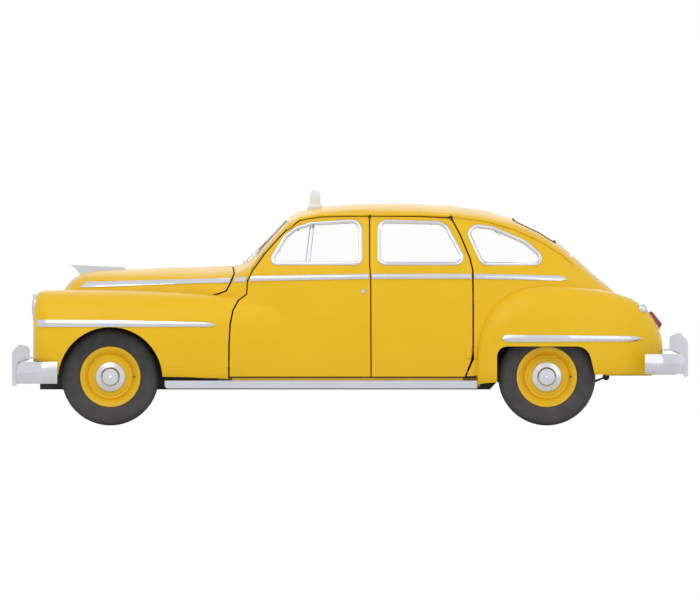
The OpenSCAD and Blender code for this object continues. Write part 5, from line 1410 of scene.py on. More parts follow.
@dataclass
class Bench:
    """A bench seat, padded by a cloth simulation.

    Attributes:
        studio: The frame.
        node: The CAD node that it is shown for.
        back_soft: Whether the rear face of its back is padded as well.
        voxel: Size of the mesh's faces.
        inset: How much smaller the form starts.
        swell: How far the padding may move a point.
        seams: Places of the sewn channels, as shares of half the width.
    """

    studio: Studio
    node: str
    back_soft: bool
    voxel: float = 17 * MILLIMETRE
    inset: float = 12 * MILLIMETRE
    swell: float = 24 * MILLIMETRE
    seams: tuple[float, ...] = (-0.96, -0.66, -0.33, 0.0, 0.33, 0.66, 0.96)

    PRESSURE = 4.0
    FRAMES = 20
    PLINTH = 90 * MILLIMETRE
    FACING = 0.4
    SEAM_SHARE = 0.55

    def build(self) -> None:
        """Builds the padded bench."""
        self.low, self.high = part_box(self.node)
        shape = self.studio.copy(self.node)
        shape.normal_update()
        for vertex in shape.verts:
            vertex.co -= vertex.normal * self.inset
        thing = self.studio.piece(f"{self.node}_padded", shape, [Look.CLOTH, Look.BLACK], "car_body", 180.0)
        remesh = thing.modifiers.new("even_faces", "REMESH")
        remesh.mode = "VOXEL"
        remesh.voxel_size = self.voxel
        self.bake(thing)
        self.inflate(thing)
        for face in thing.data.polygons:
            face.use_smooth = True
            face.material_index = 1 if face.center.z < self.low.z + self.PLINTH else 0
        finer = thing.modifiers.new("finer", "SUBSURF")
        finer.levels = finer.render_levels = 1
        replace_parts(thing, self.node)

    @staticmethod
    def bake(thing: bpy.types.Object) -> None:
        """Gives an object the mesh that its modifiers make, and removes them."""
        shown = thing.evaluated_get(bpy.context.evaluated_depsgraph_get())
        mesh = bpy.data.meshes.new_from_object(shown)
        looks = list(thing.data.materials)
        thing.modifiers.clear()
        thing.data = mesh
        mesh.materials.clear()
        for look in looks:
            mesh.materials.append(look)

    def held(self, place: Vector, normal: Vector) -> bool:
        """Whether a point stays put.

        Args:
            place: The point.
            normal: The surface's normal there.

        Returns:
            True near the floor, underneath, on a rear face that isn't soft, and along the seams.
        """
        rear = normal.x > self.FACING and not self.back_soft
        if place.z < self.low.z + self.PLINTH or normal.z < -self.FACING or rear:
            return True
        half = (self.high.y - self.low.y) / 2
        return any(abs(place.y - share * half) < self.voxel * self.SEAM_SHARE for share in self.seams)

    def inflate(self, thing: bpy.types.Object) -> None:
        """Swells the bench with cloth under pressure, held along its seams.

        Args:
            thing: The remeshed bench.
        """
        before = [vertex.co.copy() for vertex in thing.data.vertices]
        seams = thing.vertex_groups.new(name="seams")
        seams.add([v.index for v in thing.data.vertices if self.held(v.co, v.normal)], 1.0, "REPLACE")
        cloth = thing.modifiers.new("padding", "CLOTH")
        cloth.settings.vertex_group_mass = seams.name
        cloth.settings.use_pressure = True
        cloth.settings.uniform_pressure_force = self.PRESSURE
        cloth.settings.effector_weights.gravity = 0.0
        cloth.point_cache.frame_start = 1
        cloth.point_cache.frame_end = self.FRAMES
        scene = bpy.context.scene
        for frame in range(1, self.FRAMES + 1):
            scene.frame_set(frame)
        self.bake(thing)
        scene.frame_set(1)
        for vertex, start in zip(thing.data.vertices, before):
            move = vertex.co - start
            if move.length > self.swell:
                vertex.co = start + move * (self.swell / move.length)


class DoorCard:
    """Fittings on the inner side of a door: winder, handle, armrest and a bright strip."""

    WINDER = ((0.0, 0.024), (0.012, 0.024), (0.017, 0.018), (0.019, 0.006), (0.026, 0.0), (0.0, 0.0))
    KNOB = ((0.0, 0.034), (0.008, 0.033), (0.011, 0.026), (0.009, 0.012), (0.006, 0.0), (0.0, 0.0))
    # Places in pixels: winder, its knob, handle, its tip, armrest from and to
    FRONT = ((318, 306), (327, 313), (345, 300), (334, 301.5), (322, 331), (356, 324))
    REAR = ((412, 306), (403, 313), (392, 300), (403, 301.5), (386, 331), (420, 324))
    STRIP = {"front_door": ((258, 289.5), (364, 288.5)), "rear_door": ((378, 288.5), (466, 289.0))}
    STRIP_HEIGHT_PX = 1.4
    STRIP_LIFT = 1 * MILLIMETRE
    STRIP_CROWN = 3 * MILLIMETRE
    # Lifts of the winder's crank and knob, and of the handle's lever and tip; then widths and heights
    CRANK_LIFT = 20 * MILLIMETRE
    KNOB_LIFT = 30 * MILLIMETRE
    LEVER_LIFT = 22 * MILLIMETRE
    TIP_LIFT = 28 * MILLIMETRE
    CRANK = (12 * MILLIMETRE, 8 * MILLIMETRE)
    LEVER = (14 * MILLIMETRE, 9 * MILLIMETRE)
    ARMREST_DEEP = 55 * MILLIMETRE
    ARMREST_SUNK = 4 * MILLIMETRE
    ARMREST_ROUND = 20 * MILLIMETRE
    ARMREST_CROWN = 12 * MILLIMETRE

    def __init__(self, studio: Studio, door: str, side: Side) -> None:
        """Keeps the frame, the door's node without its side, and the side."""
        self.studio = studio
        self.door = door
        self.side = side
        self.node = f"{door}_{side.word}"
        self.skin = Skin(studio, self.node)

    def inner(self, place: Point, lift: float = 0.0) -> Vector:
        """A place on the door's inner face, lifted off it toward the cabin."""
        x, z = self.studio.at(place)
        hit = self.skin.tree.ray_cast(Vector((x, 0.0, z)), Vector((0.0, self.side.value, 0.0)))[0]
        return hit - Vector((0.0, self.side.value * lift, 0.0))

    def build(self) -> None:
        """Builds the fittings."""
        winder, knob, handle, tip, low, high = self.FRONT if self.door == "front_door" else self.REAR
        inward = Vector((0.0, -self.side.value, 0.0))
        parts = [
            placed(turned(self.WINDER, 32), self.inner(winder), inward),
            GlassTrim.bar(self.inner(winder, self.CRANK_LIFT), self.inner(knob, self.KNOB_LIFT), *self.CRANK),
            placed(turned(self.WINDER, 32), self.inner(handle), inward),
            GlassTrim.bar(self.inner(handle, self.LEVER_LIFT), self.inner(tip, self.TIP_LIFT), *self.LEVER),
            coloured(placed(turned(self.KNOB, 24), self.inner(knob, self.KNOB_LIFT), inward), 1),
        ]
        body = self.studio.body_of(self.node)
        self.studio.piece(f"{self.node}_winder", joined(parts), [Look.CHROME, Look.WHEEL_BLACK], body)
        self.armrest(self.inner(low), self.inner(high), body)
        self.strip(body)

    def armrest(self, low: Vector, high: Vector, body: str) -> None:
        """Sets a padded armrest on the door.

        Args:
            low: Its lower front place on the door.
            high: Its upper rear place.
            body: The body that it rides on.
        """
        way = self.side.value
        y = sorted((low.y + way * self.ARMREST_SUNK, low.y - way * self.ARMREST_DEEP))
        shape = block(Vector((low.x, y[0], low.z)), Vector((high.x, y[1], high.z)), self.ARMREST_ROUND, 4)
        for vertex in shape.verts:
            share = (vertex.co.x - low.x) / (high.x - low.x)
            vertex.co.z += self.ARMREST_CROWN * math.sin(math.pi * share)
        self.studio.piece(f"{self.node}_armrest", shape, [Look.TRIM], body, 60.0)

    def strip(self, body: str) -> None:
        """Runs a bright strip along the card, on a body."""
        line = self.STRIP[self.door]

        def place(u: float, v: float) -> Vector:
            spot = along_line(line, u)
            lift = self.STRIP_LIFT + self.STRIP_CROWN * math.sin(math.pi * v)
            return self.inner((spot.x, spot.y + self.STRIP_HEIGHT_PX * v), lift)

        shape = laid_grid(place, 24, 4, 2 * MILLIMETRE)
        self.studio.piece(f"{self.node}_card_strip", shape, [Look.CHROME], body)


class Cabin:
    """Dials and knobs of the dashboard, the steering wheel's trim, mats and side linings."""

    DIAL = ((0.0, 0.004), (0.82, 0.004), (0.86, 0.016), (0.94, 0.018), (1.0, 0.010), (1.0, -0.006),
            (0.0, -0.006))
    DIALS = ((-0.43, 0.045), (-0.32, 0.045), (0.0, 0.034))
    KNOBS = (-0.19, -0.13, 0.12, 0.18)
    KNOB = ((0.0, 0.026), (0.009, 0.025), (0.011, 0.018), (0.006, 0.012), (0.005, 0.0), (0.0, 0.0))
    FACE_PY = (289.0, 294.0)
    # Mats: front and rear ends in pixels
    MATS = (("front_mat", (230.0, 300.0)), ("rear_mat", (386.0, 438.0)))
    MAT_Y = (0.11, 0.62)
    MAT_THICKNESS = 8 * MILLIMETRE
    # Linings that close the view past the doors' hinge edges: corners in pixels and half width. Their
    # near-black is partly the panels' own dark and partly painted shade for what is seen through the gaps and
    # the wheel arches
    LININGS = (
        ("kick_panel", (
            (232.0, 290.0), (240.0, 279.0), (253.0, 279.0), (250.0, 297.0), (241.0, 304.0), (236.0, 374.0),
            (225.0, 374.0), (225.0, 301.0), (229.0, 297.0)), 0.722),
        ("quarter_lining", (
            (460.0, 250.0), (474.0, 250.0), (481.0, 266.0), (498.0, 266.0), (498.0, 344.0),
            (466.0, 344.0)), 0.70),
        ("front_apron", (
            (57.0, 304.0), (130.0, 301.0), (186.0, 294.0), (198.0, 287.0), (212.0, 286.0), (237.0, 286.0),
            (237.0, 298.0), (223.0, 300.0), (223.0, 378.0), (57.0, 378.0)), 0.44),
        ("rear_apron", ((489.0, 344.0), (606.0, 344.0), (600.0, 372.0), (489.0, 374.0)), 0.62),
    )
    LINING_THICKNESS = 6 * MILLIMETRE
    # The glove box lid: where it starts and its width across the car, its top and height in pixels, its knob
    LID_Y = (0.28, 0.26)
    LID_PY = (285.6, 8.6)
    LID_LIFT = 4 * MILLIMETRE
    LID_KNOB = (0.41, 287.2)
    LID_KNOB_LIFT = 3 * MILLIMETRE
    HAND_LIFT = 6 * MILLIMETRE
    HAND = (3 * MILLIMETRE, 2 * MILLIMETRE)
    # The floor's top over its lowest point; a mat's ribs and rim, and the rim's share of the mat
    FLOOR_RISE = 15.5 * MILLIMETRE
    RIBS = 40
    RIB_HEIGHT = 2 * MILLIMETRE
    RIM_HEIGHT = 3 * MILLIMETRE
    RIM_SHARE = 0.03
    HUB_SPOT = (297.333, 293.46)
    HORN_RING = 125 * MILLIMETRE
    RING_WIRE = 6 * MILLIMETRE
    RING_LIFT = 20 * MILLIMETRE
    SPOKE_START = 30 * MILLIMETRE
    SPOKE = (10 * MILLIMETRE, 6 * MILLIMETRE)
    CAP_LIFT = 12 * MILLIMETRE
    WHEEL_AXIS = Vector((0.848, 0.0, 0.53))
    CAP = ((0.0, 0.034), (0.018, 0.033), (0.034, 0.027), (0.043, 0.017), (0.044, 0.004), (0.0, 0.004))

    def __init__(self, studio: Studio) -> None:
        """Keeps the frame and the dashboard's surface."""
        self.studio = studio
        self.dash = Skin(studio, "dashboard")

    def build(self) -> None:
        """Builds all of it."""
        self.dials()
        self.steering_wheel()
        for side in Side:
            for name, ends in self.MATS:
                self.mat(f"{name}_{side.word}", ends, side)
            for name, corners, half in self.LININGS:
                self.lining(f"{name}_{side.word}", corners, half * side.value)

    def on_dash(self, y: float, py: float) -> tuple[Vector, Vector]:
        """The dashboard's face toward the cabin at a Y and a height, with its normal."""
        start = Vector((1.0, y, self.studio.at((0, py))[1]))
        hit = self.dash.tree.ray_cast(start, Vector((-1, 0, 0)))
        return hit[0], hit[1]

    def dials(self) -> None:
        """Sets dials with bright rims and a row of knobs in the dashboard."""
        parts = []
        for y, radius in self.DIALS:
            point, normal = self.on_dash(y, self.FACE_PY[0])
            dial = placed(turned([(r * radius, h) for r, h in self.DIAL], 48), point, normal)
            for face in dial.faces:
                if (face.calc_center_median() - point).length < radius * 0.8:
                    face.material_index = 1
            parts.append(dial)
            pivot = point + normal * self.HAND_LIFT
            hand = GlassTrim.bar(pivot, pivot + Vector((0, radius * 0.4, radius * 0.5)), *self.HAND)
            parts.append(coloured(hand, 2))
        for y in self.KNOBS:
            point, normal = self.on_dash(y, self.FACE_PY[1])
            parts.append(coloured(placed(turned(self.KNOB, 20), point, normal), 2))
        looks = [Look.CHROME, Look.DIAL, Look.WHEEL_BLACK]
        self.studio.piece("dashboard_dials", joined(parts), looks, "car_body")
        self.glove_box()

    def glove_box(self) -> None:
        """Lays the glove box lid with its knob on the passenger's side."""
        def place(u: float, v: float) -> Vector:
            (y, wide), (py, tall) = self.LID_Y, self.LID_PY
            point, normal = self.on_dash(y + wide * u, py + tall * v)
            return point + normal * self.LID_LIFT

        lid = laid_grid(place, 12, 4, self.LID_LIFT)
        point, normal = self.on_dash(*self.LID_KNOB)
        knob = coloured(placed(turned(self.KNOB, 20), point + normal * self.LID_KNOB_LIFT, normal), 1)
        self.studio.piece("glove_box_lid", joined((lid, knob)), [Look.DASH, Look.CHROME], "car_body")

    def steering_wheel(self) -> None:
        """Shows the steering wheel, and adds its horn ring and centre cap."""
        shape = self.studio.copy("steering_wheel")
        looks = [Look.WHEEL_BLACK]
        thing = self.studio.piece("steering_wheel_rim", shape, looks, "steering_wheel", 40.0)
        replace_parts(thing, "steering_wheel")
        x, z = self.studio.at(self.HUB_SPOT)
        low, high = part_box("steering_wheel")
        hub = Vector((x, (low.y + high.y) / 2, z))
        turns = [math.tau * k / 12 for k in range(13)]
        wire = [(self.HORN_RING + self.RING_WIRE * math.cos(a), self.RING_LIFT + self.RING_WIRE * math.sin(a))
                for a in turns]
        cap = placed(turned(self.CAP, 48), hub + self.WHEEL_AXIS * self.CAP_LIFT, self.WHEEL_AXIS)
        parts = [placed(turned(wire, 64), hub, self.WHEEL_AXIS), cap]
        for way in (-1, 1):
            start = hub + self.WHEEL_AXIS * self.RING_LIFT + Vector((0, way * self.SPOKE_START, 0))
            end = start + Vector((0, way * (self.HORN_RING - self.SPOKE_START), 0))
            parts.append(GlassTrim.bar(start, end, *self.SPOKE))
        self.studio.piece("horn_ring", joined(parts), [Look.CHROME], "steering_wheel")

    def mat(self, name: str, ends: Point, side: Side) -> None:
        """Lays a ribbed mat on the floor.

        Args:
            name: Name of the piece.
            ends: Its front and rear ends, in pixels.
            side: The side of the tunnel that it lies on.
        """
        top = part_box("floor_pan")[0].z + self.FLOOR_RISE
        x0, x1 = (self.studio.at((px, 0))[0] for px in ends)
        y0, y1 = (side.value * y for y in self.MAT_Y)

        def place(u: float, v: float) -> Vector:
            edge = min(u, 1 - u, v, 1 - v)
            wave = (1 + math.cos(self.RIBS * math.tau * u)) / 2
            rib = self.RIB_HEIGHT * wave if edge > self.RIM_SHARE else self.RIM_HEIGHT
            return Vector((x0 + (x1 - x0) * u, y0 + (y1 - y0) * v, top + self.MAT_THICKNESS + rib))

        shape = laid_grid(place, 160, 40, self.MAT_THICKNESS)
        self.studio.piece(name, shape, [Look.CARPET], "car_body", 60.0)

    def lining(self, name: str, corners: Sequence[Point], y: float) -> None:
        """Stands a flat lining panel with rounded edges at a place across the car, in a near-black that is
        partly painted shade.

        Args:
            name: Name of the piece.
            corners: Its corners in pixels.
            y: Its place across the car.
        """
        shape = plate(self.studio, corners, y, -math.copysign(self.LINING_THICKNESS, y))
        # The near-black finish here is partly the panel's own dark and partly painted shade
        self.studio.piece(name, shape, [Look.SEAL], "car_body")


class EngineBay:
    """What sits on the engine block and the radiator."""

    AIR_CLEANER = ((0.0, 0.088), (0.02, 0.088), (0.024, 0.078), (0.075, 0.074), (0.088, 0.064), (0.09, 0.022),
                   (0.08, 0.012), (0.04, 0.008), (0.036, -0.03), (0.0, -0.03))
    PLUG = ((0.0, 0.052), (0.004, 0.05), (0.005, 0.03), (0.009, 0.028), (0.011, 0.012), (0.013, 0.01),
            (0.013, -0.004), (0.0, -0.004))
    RADIATOR_CAP = ((0.0, 0.022), (0.022, 0.021), (0.028, 0.016), (0.029, 0.004), (0.022, 0.0),
                    (0.022, -0.004), (0.0, -0.004))
    FAN_HUB = ((0.0, 0.014), (0.03, 0.012), (0.036, 0.0), (0.036, -0.012), (0.0, -0.012))
    FAN_SHAFT = ((0.0, 0.0), (0.014, 0.0), (0.014, 0.06), (0.0, 0.06))
    BACK_PX = 186
    PLUGS = 6
    PLUG_RISE = 38 * MILLIMETRE
    # The cylinder head: its distance from the block's ends, shares of half the width, height and rounding
    HEAD_INSET = 20 * MILLIMETRE
    HEAD_SHARES = (0.72, 0.6)
    HEAD_SUNK = 2 * MILLIMETRE
    HEAD_HEIGHT = 40 * MILLIMETRE
    HEAD_ROUND = 12 * MILLIMETRE
    CLEANER_SHARES = (0.55, 0.42)
    CLEANER_RISE = 55 * MILLIMETRE
    BLADES = 4
    BLADE_LOW = Vector((-0.004, -0.035, 0.03))
    BLADE_HIGH = Vector((0.004, 0.035, 0.16))
    BLADE_ROUND = 3 * MILLIMETRE
    BLADE_TWIST = 0.35
    FAN_BEHIND = 10 * MILLIMETRE
    FAN_DROP = 190 * MILLIMETRE
    HOSE_Y = -80 * MILLIMETRE
    HOSE_RADIUS = 22 * MILLIMETRE
    HOSE_STEPS = 14

    def __init__(self, studio: Studio) -> None:
        """Keeps the frame, and the places of the block and the radiator."""
        self.studio = studio
        low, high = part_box("engine")
        self.low, self.high = low, high
        self.back = studio.at((self.BACK_PX, 0))[0]
        self.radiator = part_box("radiator")

    def build(self) -> None:
        """Builds all of it."""
        self.head()
        self.fan()
        self.hose()

    def head(self) -> None:
        """Sets the cylinder head with its plugs, and the air cleaner beside them."""
        top = self.high.z
        half = (self.high.y - self.low.y) / 2
        left, right = self.HEAD_SHARES
        head = block(Vector((self.low.x + self.HEAD_INSET, -half * left, top - self.HEAD_SUNK)),
                     Vector((self.back - self.HEAD_INSET, half * right, top + self.HEAD_HEIGHT)),
                     self.HEAD_ROUND)
        parts = [coloured(head, 1)]
        long = self.back - self.low.x
        for k in range(self.PLUGS):
            x = self.low.x + long * (k + 0.7) / (self.PLUGS + 0.4)
            place = Vector((x, -half * 0.3, top + self.PLUG_RISE))
            parts.append(placed(turned(self.PLUG, 16), place, Vector((0, 0, 1))))
        along, across = self.CLEANER_SHARES
        spot = Vector((self.low.x + long * along, half * across, top + self.CLEANER_RISE))
        can = placed(turned(self.AIR_CLEANER, 48), spot, Vector((0, 0, 1)))
        parts.append(coloured(can, 2))
        self.studio.piece("engine_head", joined(parts), [Look.CHROME, Look.ENGINE, Look.BLACK], "car_body")

    def fan(self) -> None:
        """Sets the fan between the radiator and the block."""
        middle = (self.radiator[1].x + self.low.x) / 2
        hub = Vector((middle + self.FAN_BEHIND, 0.0, self.high.z - self.FAN_DROP))
        ahead = Vector((-1, 0, 0))
        parts = [placed(turned(self.FAN_HUB, 32), hub, ahead),
                 placed(turned(self.FAN_SHAFT, 16), hub, -ahead)]
        for k in range(self.BLADES):
            blade = block(self.BLADE_LOW, self.BLADE_HIGH, self.BLADE_ROUND, 2)
            twist = Matrix.Rotation(self.BLADE_TWIST, 3, "Z")
            bmesh.ops.rotate(blade, cent=(0, 0, 0), matrix=twist, verts=blade.verts)
            around = Matrix.Rotation(math.tau * k / self.BLADES, 3, "X")
            bmesh.ops.rotate(blade, cent=(0, 0, 0), matrix=around, verts=blade.verts)
            bmesh.ops.translate(blade, vec=hub, verts=blade.verts)
            parts.append(blade)
        self.studio.piece("radiator_fan", joined(parts), [Look.BLACK], "car_body")

    def hose(self) -> None:
        """Runs the upper hose, and sets the radiator's cap."""
        low, high = self.radiator
        start = Vector((high.x - 0.002, self.HOSE_Y, high.z - 0.05))
        end = Vector((self.low.x + 0.05, self.HOSE_Y, self.high.z + 0.03))
        shape = bmesh.new()
        bmesh.ops.create_circle(shape, segments=20, radius=self.HOSE_RADIUS, cap_ends=False)
        bmesh.ops.rotate(shape, cent=(0, 0, 0), matrix=Matrix.Rotation(math.pi / 2, 3, "Y"),
                         verts=shape.verts)
        bmesh.ops.translate(shape, vec=start, verts=shape.verts)
        ring = shape.edges[:]
        steps = self.HOSE_STEPS
        for k in range(1, steps + 1):
            grown = bmesh.ops.extrude_edge_only(shape, edges=ring)["geom"]
            verts = [v for v in grown if isinstance(v, bmesh.types.BMVert)]
            ring = [e for e in grown if isinstance(e, bmesh.types.BMEdge)]
            rise = (math.cos(math.pi * (k - 1) / steps) - math.cos(math.pi * k / steps)) / 2
            step = Vector(((end.x - start.x) / steps, 0, (end.z - start.z) * rise))
            bmesh.ops.translate(shape, vec=step, verts=verts)
        bmesh.ops.recalc_face_normals(shape, faces=shape.faces)
        spot = Vector(((low.x + high.x) / 2, 0.0, high.z))
        cap = placed(turned(self.RADIATOR_CAP, 32), spot, Vector((0, 0, 1)))
        self.studio.piece("radiator_hose", joined((coloured(shape, 1), cap)),
                          [Look.CHROME, Look.SEAL], "car_body")


class Closings:
    """The hood's rear strip, the rear fenders' inner sides, the parcel shelf and the trunk's handle."""

    SHELF_PX = ((534.0, 282.6), (545.0, 271.0), (551.0, 261.0))
    # Spans of the shelf across the car, clear of the trunk lid's hinges
    SHELF_SPANS = ((-0.25, 0.25), (0.36, 0.52), (-0.52, -0.36))
    HANDLE_PY = (338.0, 346.0)
    HANDLE_FOOT = ((0.0, 0.018), (0.008, 0.017), (0.011, 0.006), (0.015, 0.0), (0.0, -0.004))
    HANDLE_OUT = 16 * MILLIMETRE
    GRIP = (20 * MILLIMETRE, 9 * MILLIMETRE)
    # The hood's rear edge in the elevation, from the fender up, and the strip under it
    HOOD_EDGE = ((225.5, 290.3), (229.7, 282.8), (233.4, 273.5), (232.6, 268.5), (230.5, 262.0))
    STRIP_STEPS = 72
    STRIP_HALF = 14 * MILLIMETRE
    # Share of its depth by which the strip rises at the hood's top
    STRIP_RISE = 0.55
    # The strip on the hood, and its lower ends on the cowl: angles, depth under the skin and body
    STRIPS = (
        ("hood_rear_strip", (5.0, 175.0), 20 * MILLIMETRE, "hood"),
        ("cowl_corner_seal_left", (2.4, 5.8), 25 * MILLIMETRE, "car_body"),
        ("cowl_corner_seal_right", (174.2, 177.6), 25 * MILLIMETRE, "car_body"),
    )
    # The inner sides of the rear fenders' tails: heights, and the place across that clears the trunk lid
    TAIL_Z = (0.41, 1.01)
    TAIL_STEPS = 40
    TAIL_Y = (0.404, 0.80)
    TAIL_SEARCH = 4 * MILLIMETRE
    DOME_PX = (642.2, 309.0)
    DOME = ((0.0, 0.036), (0.012, 0.035), (0.024, 0.03), (0.033, 0.021), (0.038, 0.009), (0.039, -0.012),
            (0.0, -0.012))

    def __init__(self, studio: Studio) -> None:
        """Keeps the frame."""
        self.studio = studio

    def build(self) -> None:
        """Builds all of it."""
        self.shelf()
        self.handle()
        for strip in self.STRIPS:
            self.hood_strip(*strip)
        self.fuel_dome()
        for side in Side:
            self.tail_side(side)

    def tail_side(self, side: Side) -> None:
        """Closes the inner side of a rear fender's tail, from its edge forward to the body."""
        fender = Skin(self.studio, f"rear_fender_{side.word}").tree
        body = Skin(self.studio, f"quarter_panel_{side.word}", "rear_panel").tree
        ahead = Vector((-1.0, 0.0, 0.0))
        found = []
        for k in range(self.TAIL_STEPS + 1):
            z = self.TAIL_Z[0] + (self.TAIL_Z[1] - self.TAIL_Z[0]) * k / self.TAIL_STEPS
            y = self.TAIL_Y[0]
            hit = fender.ray_cast(Vector((3.0, side.value * y, z)), ahead)[0]
            while (hit is None or hit.x < 1.7) and y < self.TAIL_Y[1]:
                y += self.TAIL_SEARCH
                hit = fender.ray_cast(Vector((3.0, side.value * y, z)), ahead)[0]
            y += 2 * self.TAIL_SEARCH
            hit = fender.ray_cast(Vector((3.0, side.value * y, z)), ahead)[0] or hit
            inner = body.ray_cast(Vector((hit.x, side.value * y, z)), ahead)[0]
            if inner:
                found.append((hit.x - 0.006, inner.x - 0.004, side.value * y, z))

        def place(u: float, v: float) -> Vector:
            back, front, y, z = found[round(u * (len(found) - 1))]
            return Vector((back + (front - back) * v, y, z))

        shape = laid_grid(place, len(found) - 1, 6, side.value * 2 * MILLIMETRE)
        self.studio.piece(f"fender_tail_side_{side.word}", shape, [Look.PAINT], "car_body", 60.0)

    def hood_strip(self, name: str, angles: Point, depth: float, body: str) -> None:
        """Lays a length of the rubber strip under the hood's rear edge, which closes the gap to the cowl.

        Args:
            name: Name of the piece.
            angles: Its first and last angle round the hood, in degrees from the left.
            depth: Its depth under the skin.
            body: The body that it rides on.
        """
        skin = Skin(self.studio, "hood", "cowl")
        edge = [self.studio.at(place) for place in self.HOOD_EDGE]
        heights = [z for _, z in edge]

        def edge_x(z: float) -> float:
            for (x0, z0), (x1, z1) in zip(edge, edge[1:]):
                if z0 <= z <= z1:
                    return x0 + (x1 - x0) * (z - z0) / (z1 - z0)
            return edge[0][0] if z < heights[0] else edge[-1][0]

        path = []
        for k in range(self.STRIP_STEPS + 1):
            angle = math.radians(angles[0] + (angles[1] - angles[0]) * k / self.STRIP_STEPS)
            centre = Vector((edge[0][0], 0.0, heights[0]))
            way = Vector((0.0, -math.cos(angle), math.sin(angle)))
            hit = centre + way * 0.5
            for _ in range(3):
                x = edge_x(hit.z) - self.STRIP_HALF / 2
                found = skin.tree.ray_cast(Vector((x, 0.0, heights[0])) + way * 1.5, -way, 1.4)[0]
                hit = found or skin.tree.find_nearest(Vector((x, hit.y, hit.z)))[0]
            path.append((Vector((edge_x(hit.z), hit.y, hit.z)), way))

        def place(u: float, v: float) -> Vector:
            spot, way = path[round(u * self.STRIP_STEPS)]
            under = depth * (1.0 - self.STRIP_RISE * way.z ** 8)
            return spot - way * under + Vector((self.STRIP_HALF * (2 * v - 1), 0.0, 0.0))

        shape = laid_grid(place, self.STRIP_STEPS, 4, 4 * MILLIMETRE)
        self.studio.piece(name, shape, [Look.SEAL], body, 60.0)

    def fuel_dome(self) -> None:
        """Sets the bright filler cap on the left rear fender."""
        skin = Skin(self.studio, "rear_fender_left")
        x, z = self.studio.at(self.DOME_PX)
        spot, normal = skin.tree.ray_cast(Vector((x, -3.0, z)), Vector((0.0, 1.0, 0.0)))[:2]
        if spot:
            shape = placed(turned(self.DOME, 40), spot, normal)
            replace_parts(self.studio.piece("fuel_filler_cap", shape, [Look.CHROME], "car_body"), "fuel_cap")

    def shelf(self) -> None:
        """Lays the parcel shelf behind the rear seat."""
        parts = []
        for first, last in self.SHELF_SPANS:
            def place(u: float, v: float) -> Vector:
                x, z = self.studio.at(along_line(self.SHELF_PX, v))
                return Vector((x, first + (last - first) * u, z))
            parts.append(laid_grid(place, 12, 8, 5 * MILLIMETRE))
        self.studio.piece("parcel_shelf", joined(parts), [Look.TRIM], "car_body")

    def handle(self) -> None:
        """Sets the bright handle low on the trunk lid."""
        skin = Skin(self.studio, "trunk_lid")
        ends = []
        for py in self.HANDLE_PY:
            start = Vector((3.0, 0.0, self.studio.at((0, py))[1]))
            ends.append(skin.tree.ray_cast(start, Vector((-1, 0, 0))))
        if any(end[0] is None for end in ends):
            return
        out = ends[0][1].normalized() * self.HANDLE_OUT
        feet = [placed(turned(self.HANDLE_FOOT, 24), end[0], end[1]) for end in ends]
        grip = GlassTrim.bar(ends[0][0] + out, ends[1][0] + out, *self.GRIP)
        self.studio.piece("trunk_handle", joined((*feet, grip)), [Look.CHROME], "trunk_lid")


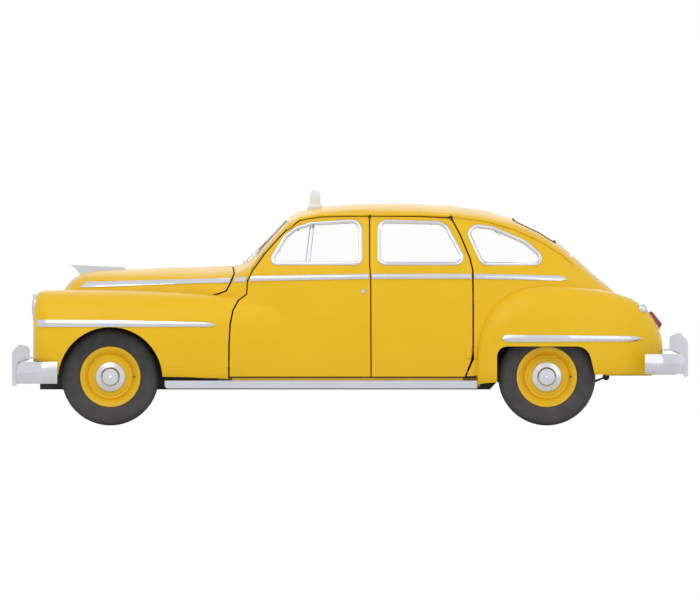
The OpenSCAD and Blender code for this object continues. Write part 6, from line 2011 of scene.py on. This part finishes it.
class StudioSet:
    """The floor, the lights and the camera."""

    FLOOR_SIZE = 60.0
    VIEW_DISTANCE = 20.0
    IMAGE_PX = (700.0, 600.0)

    def __init__(self, studio: Studio) -> None:
        """Keeps the frame."""
        self.studio = studio

    def build(self) -> None:
        """Builds the set."""
        self.floor()
        self.world()
        self.lamp("key_light", Vector((-3.0, -6.5, 6.0)), 6.0, 110.0)
        self.lamp("fill_light", Vector((5.0, -6.0, 3.5)), 6.0, 50.0)
        self.lamp("back_light", Vector((0.0, 7.0, 5.0)), 6.0, 60.0)
        self.camera()

    def floor(self) -> None:
        """Lays a plain pale floor under the wheels."""
        shape = bmesh.new()
        bmesh.ops.create_grid(shape, x_segments=1, y_segments=1, size=self.FLOOR_SIZE / 2)
        bmesh.ops.translate(shape, vec=(0, 0, -MILLIMETRE), verts=shape.verts)
        mesh = bpy.data.meshes.new("studio_floor")
        shape.to_mesh(mesh)
        shape.free()
        mesh.materials.append(Look.FLOOR.value.material())
        floor = bpy.data.objects.new("studio_floor", mesh)
        bpy.context.scene.collection.objects.link(floor)
        floor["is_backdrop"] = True

    def world(self) -> None:
        """Makes the world light the car softly and show plain white behind it."""
        world = bpy.data.worlds.new("studio_white")
        bpy.context.scene.world = world
        world.use_nodes = True
        world.node_tree.nodes.clear()
        make = NodeMaker(world.node_tree)
        soft = make.add("ShaderNodeBackground", {"Color": (0.93, 0.95, 1.0, 1.0), "Strength": 0.85})
        white = make.add("ShaderNodeBackground", {"Color": (1.0, 1.0, 1.0, 1.0), "Strength": 1.0})
        path = make.add("ShaderNodeLightPath")
        rays = {0: path.outputs["Is Camera Ray"], 1: path.outputs["Is Transmission Ray"]}
        seen = make.add("ShaderNodeMath", rays, operation="MAXIMUM")
        both = make.add("ShaderNodeMixShader", {0: seen.outputs[0], 1: soft.outputs[0], 2: white.outputs[0]})
        end = make.add("ShaderNodeOutputWorld")
        world.node_tree.links.new(both.outputs[0], end.inputs["Surface"])

    def lamp(self, name: str, place: Vector, size: float, power: float) -> None:
        """Hangs a square soft light that faces the car.

        Args:
            name: Name of the light.
            place: Where it hangs.
            size: Its side.
            power: Its power in watts.
        """
        data = bpy.data.lights.new(name, "AREA")
        data.size = size
        data.energy = power
        lamp = bpy.data.objects.new(name, data)
        lamp.location = place
        lamp.rotation_euler = (Vector((0.0, 0.0, 0.7)) - place).to_track_quat("-Z", "Y").to_euler()
        bpy.context.scene.collection.objects.link(lamp)

    def camera(self) -> None:
        """Sets the camera square to the car's left side, in the elevation's frame."""
        data = bpy.data.cameras.new("elevation_camera")
        data.type = "ORTHO"
        data.ortho_scale = self.IMAGE_PX[0] * self.studio.scale_x
        data.clip_end = self.VIEW_DISTANCE * 3
        camera = bpy.data.objects.new("elevation_camera", data)
        x, z = self.studio.at((self.IMAGE_PX[0] / 2, self.IMAGE_PX[1] / 2))
        camera.location = (x, -self.VIEW_DISTANCE, z)
        camera.rotation_euler = (math.pi / 2, 0.0, 0.0)
        bpy.context.scene.collection.objects.link(camera)
        bpy.context.scene.camera = camera
        bpy.context.scene.view_settings.view_transform = "Standard"


def main() -> None:
    """Builds the whole scene."""
    logging.basicConfig(level=logging.INFO, format="%(name)s: %(message)s")
    for old in list(bpy.data.objects):
        bpy.data.objects.remove(old)
    studio = Studio()
    Panels(studio).build()
    BodyTrim(studio).build()
    GlassTrim(studio).build()
    for corner in ("front_left", "front_right", "rear_left", "rear_right"):
        RoadWheel(studio, corner).build()
    Lamps(studio).build()
    Bench(studio, "front_seat", back_soft=True).build()
    Bench(studio, "rear_seat", back_soft=False).build()
    for side in Side:
        for door in ("front_door", "rear_door"):
            DoorCard(studio, door, side).build()
    Cabin(studio).build()
    EngineBay(studio).build()
    Closings(studio).build()
    StudioSet(studio).build()
    log.info("%d pieces", studio.pieces)


if __name__ == "__main__":
    main()
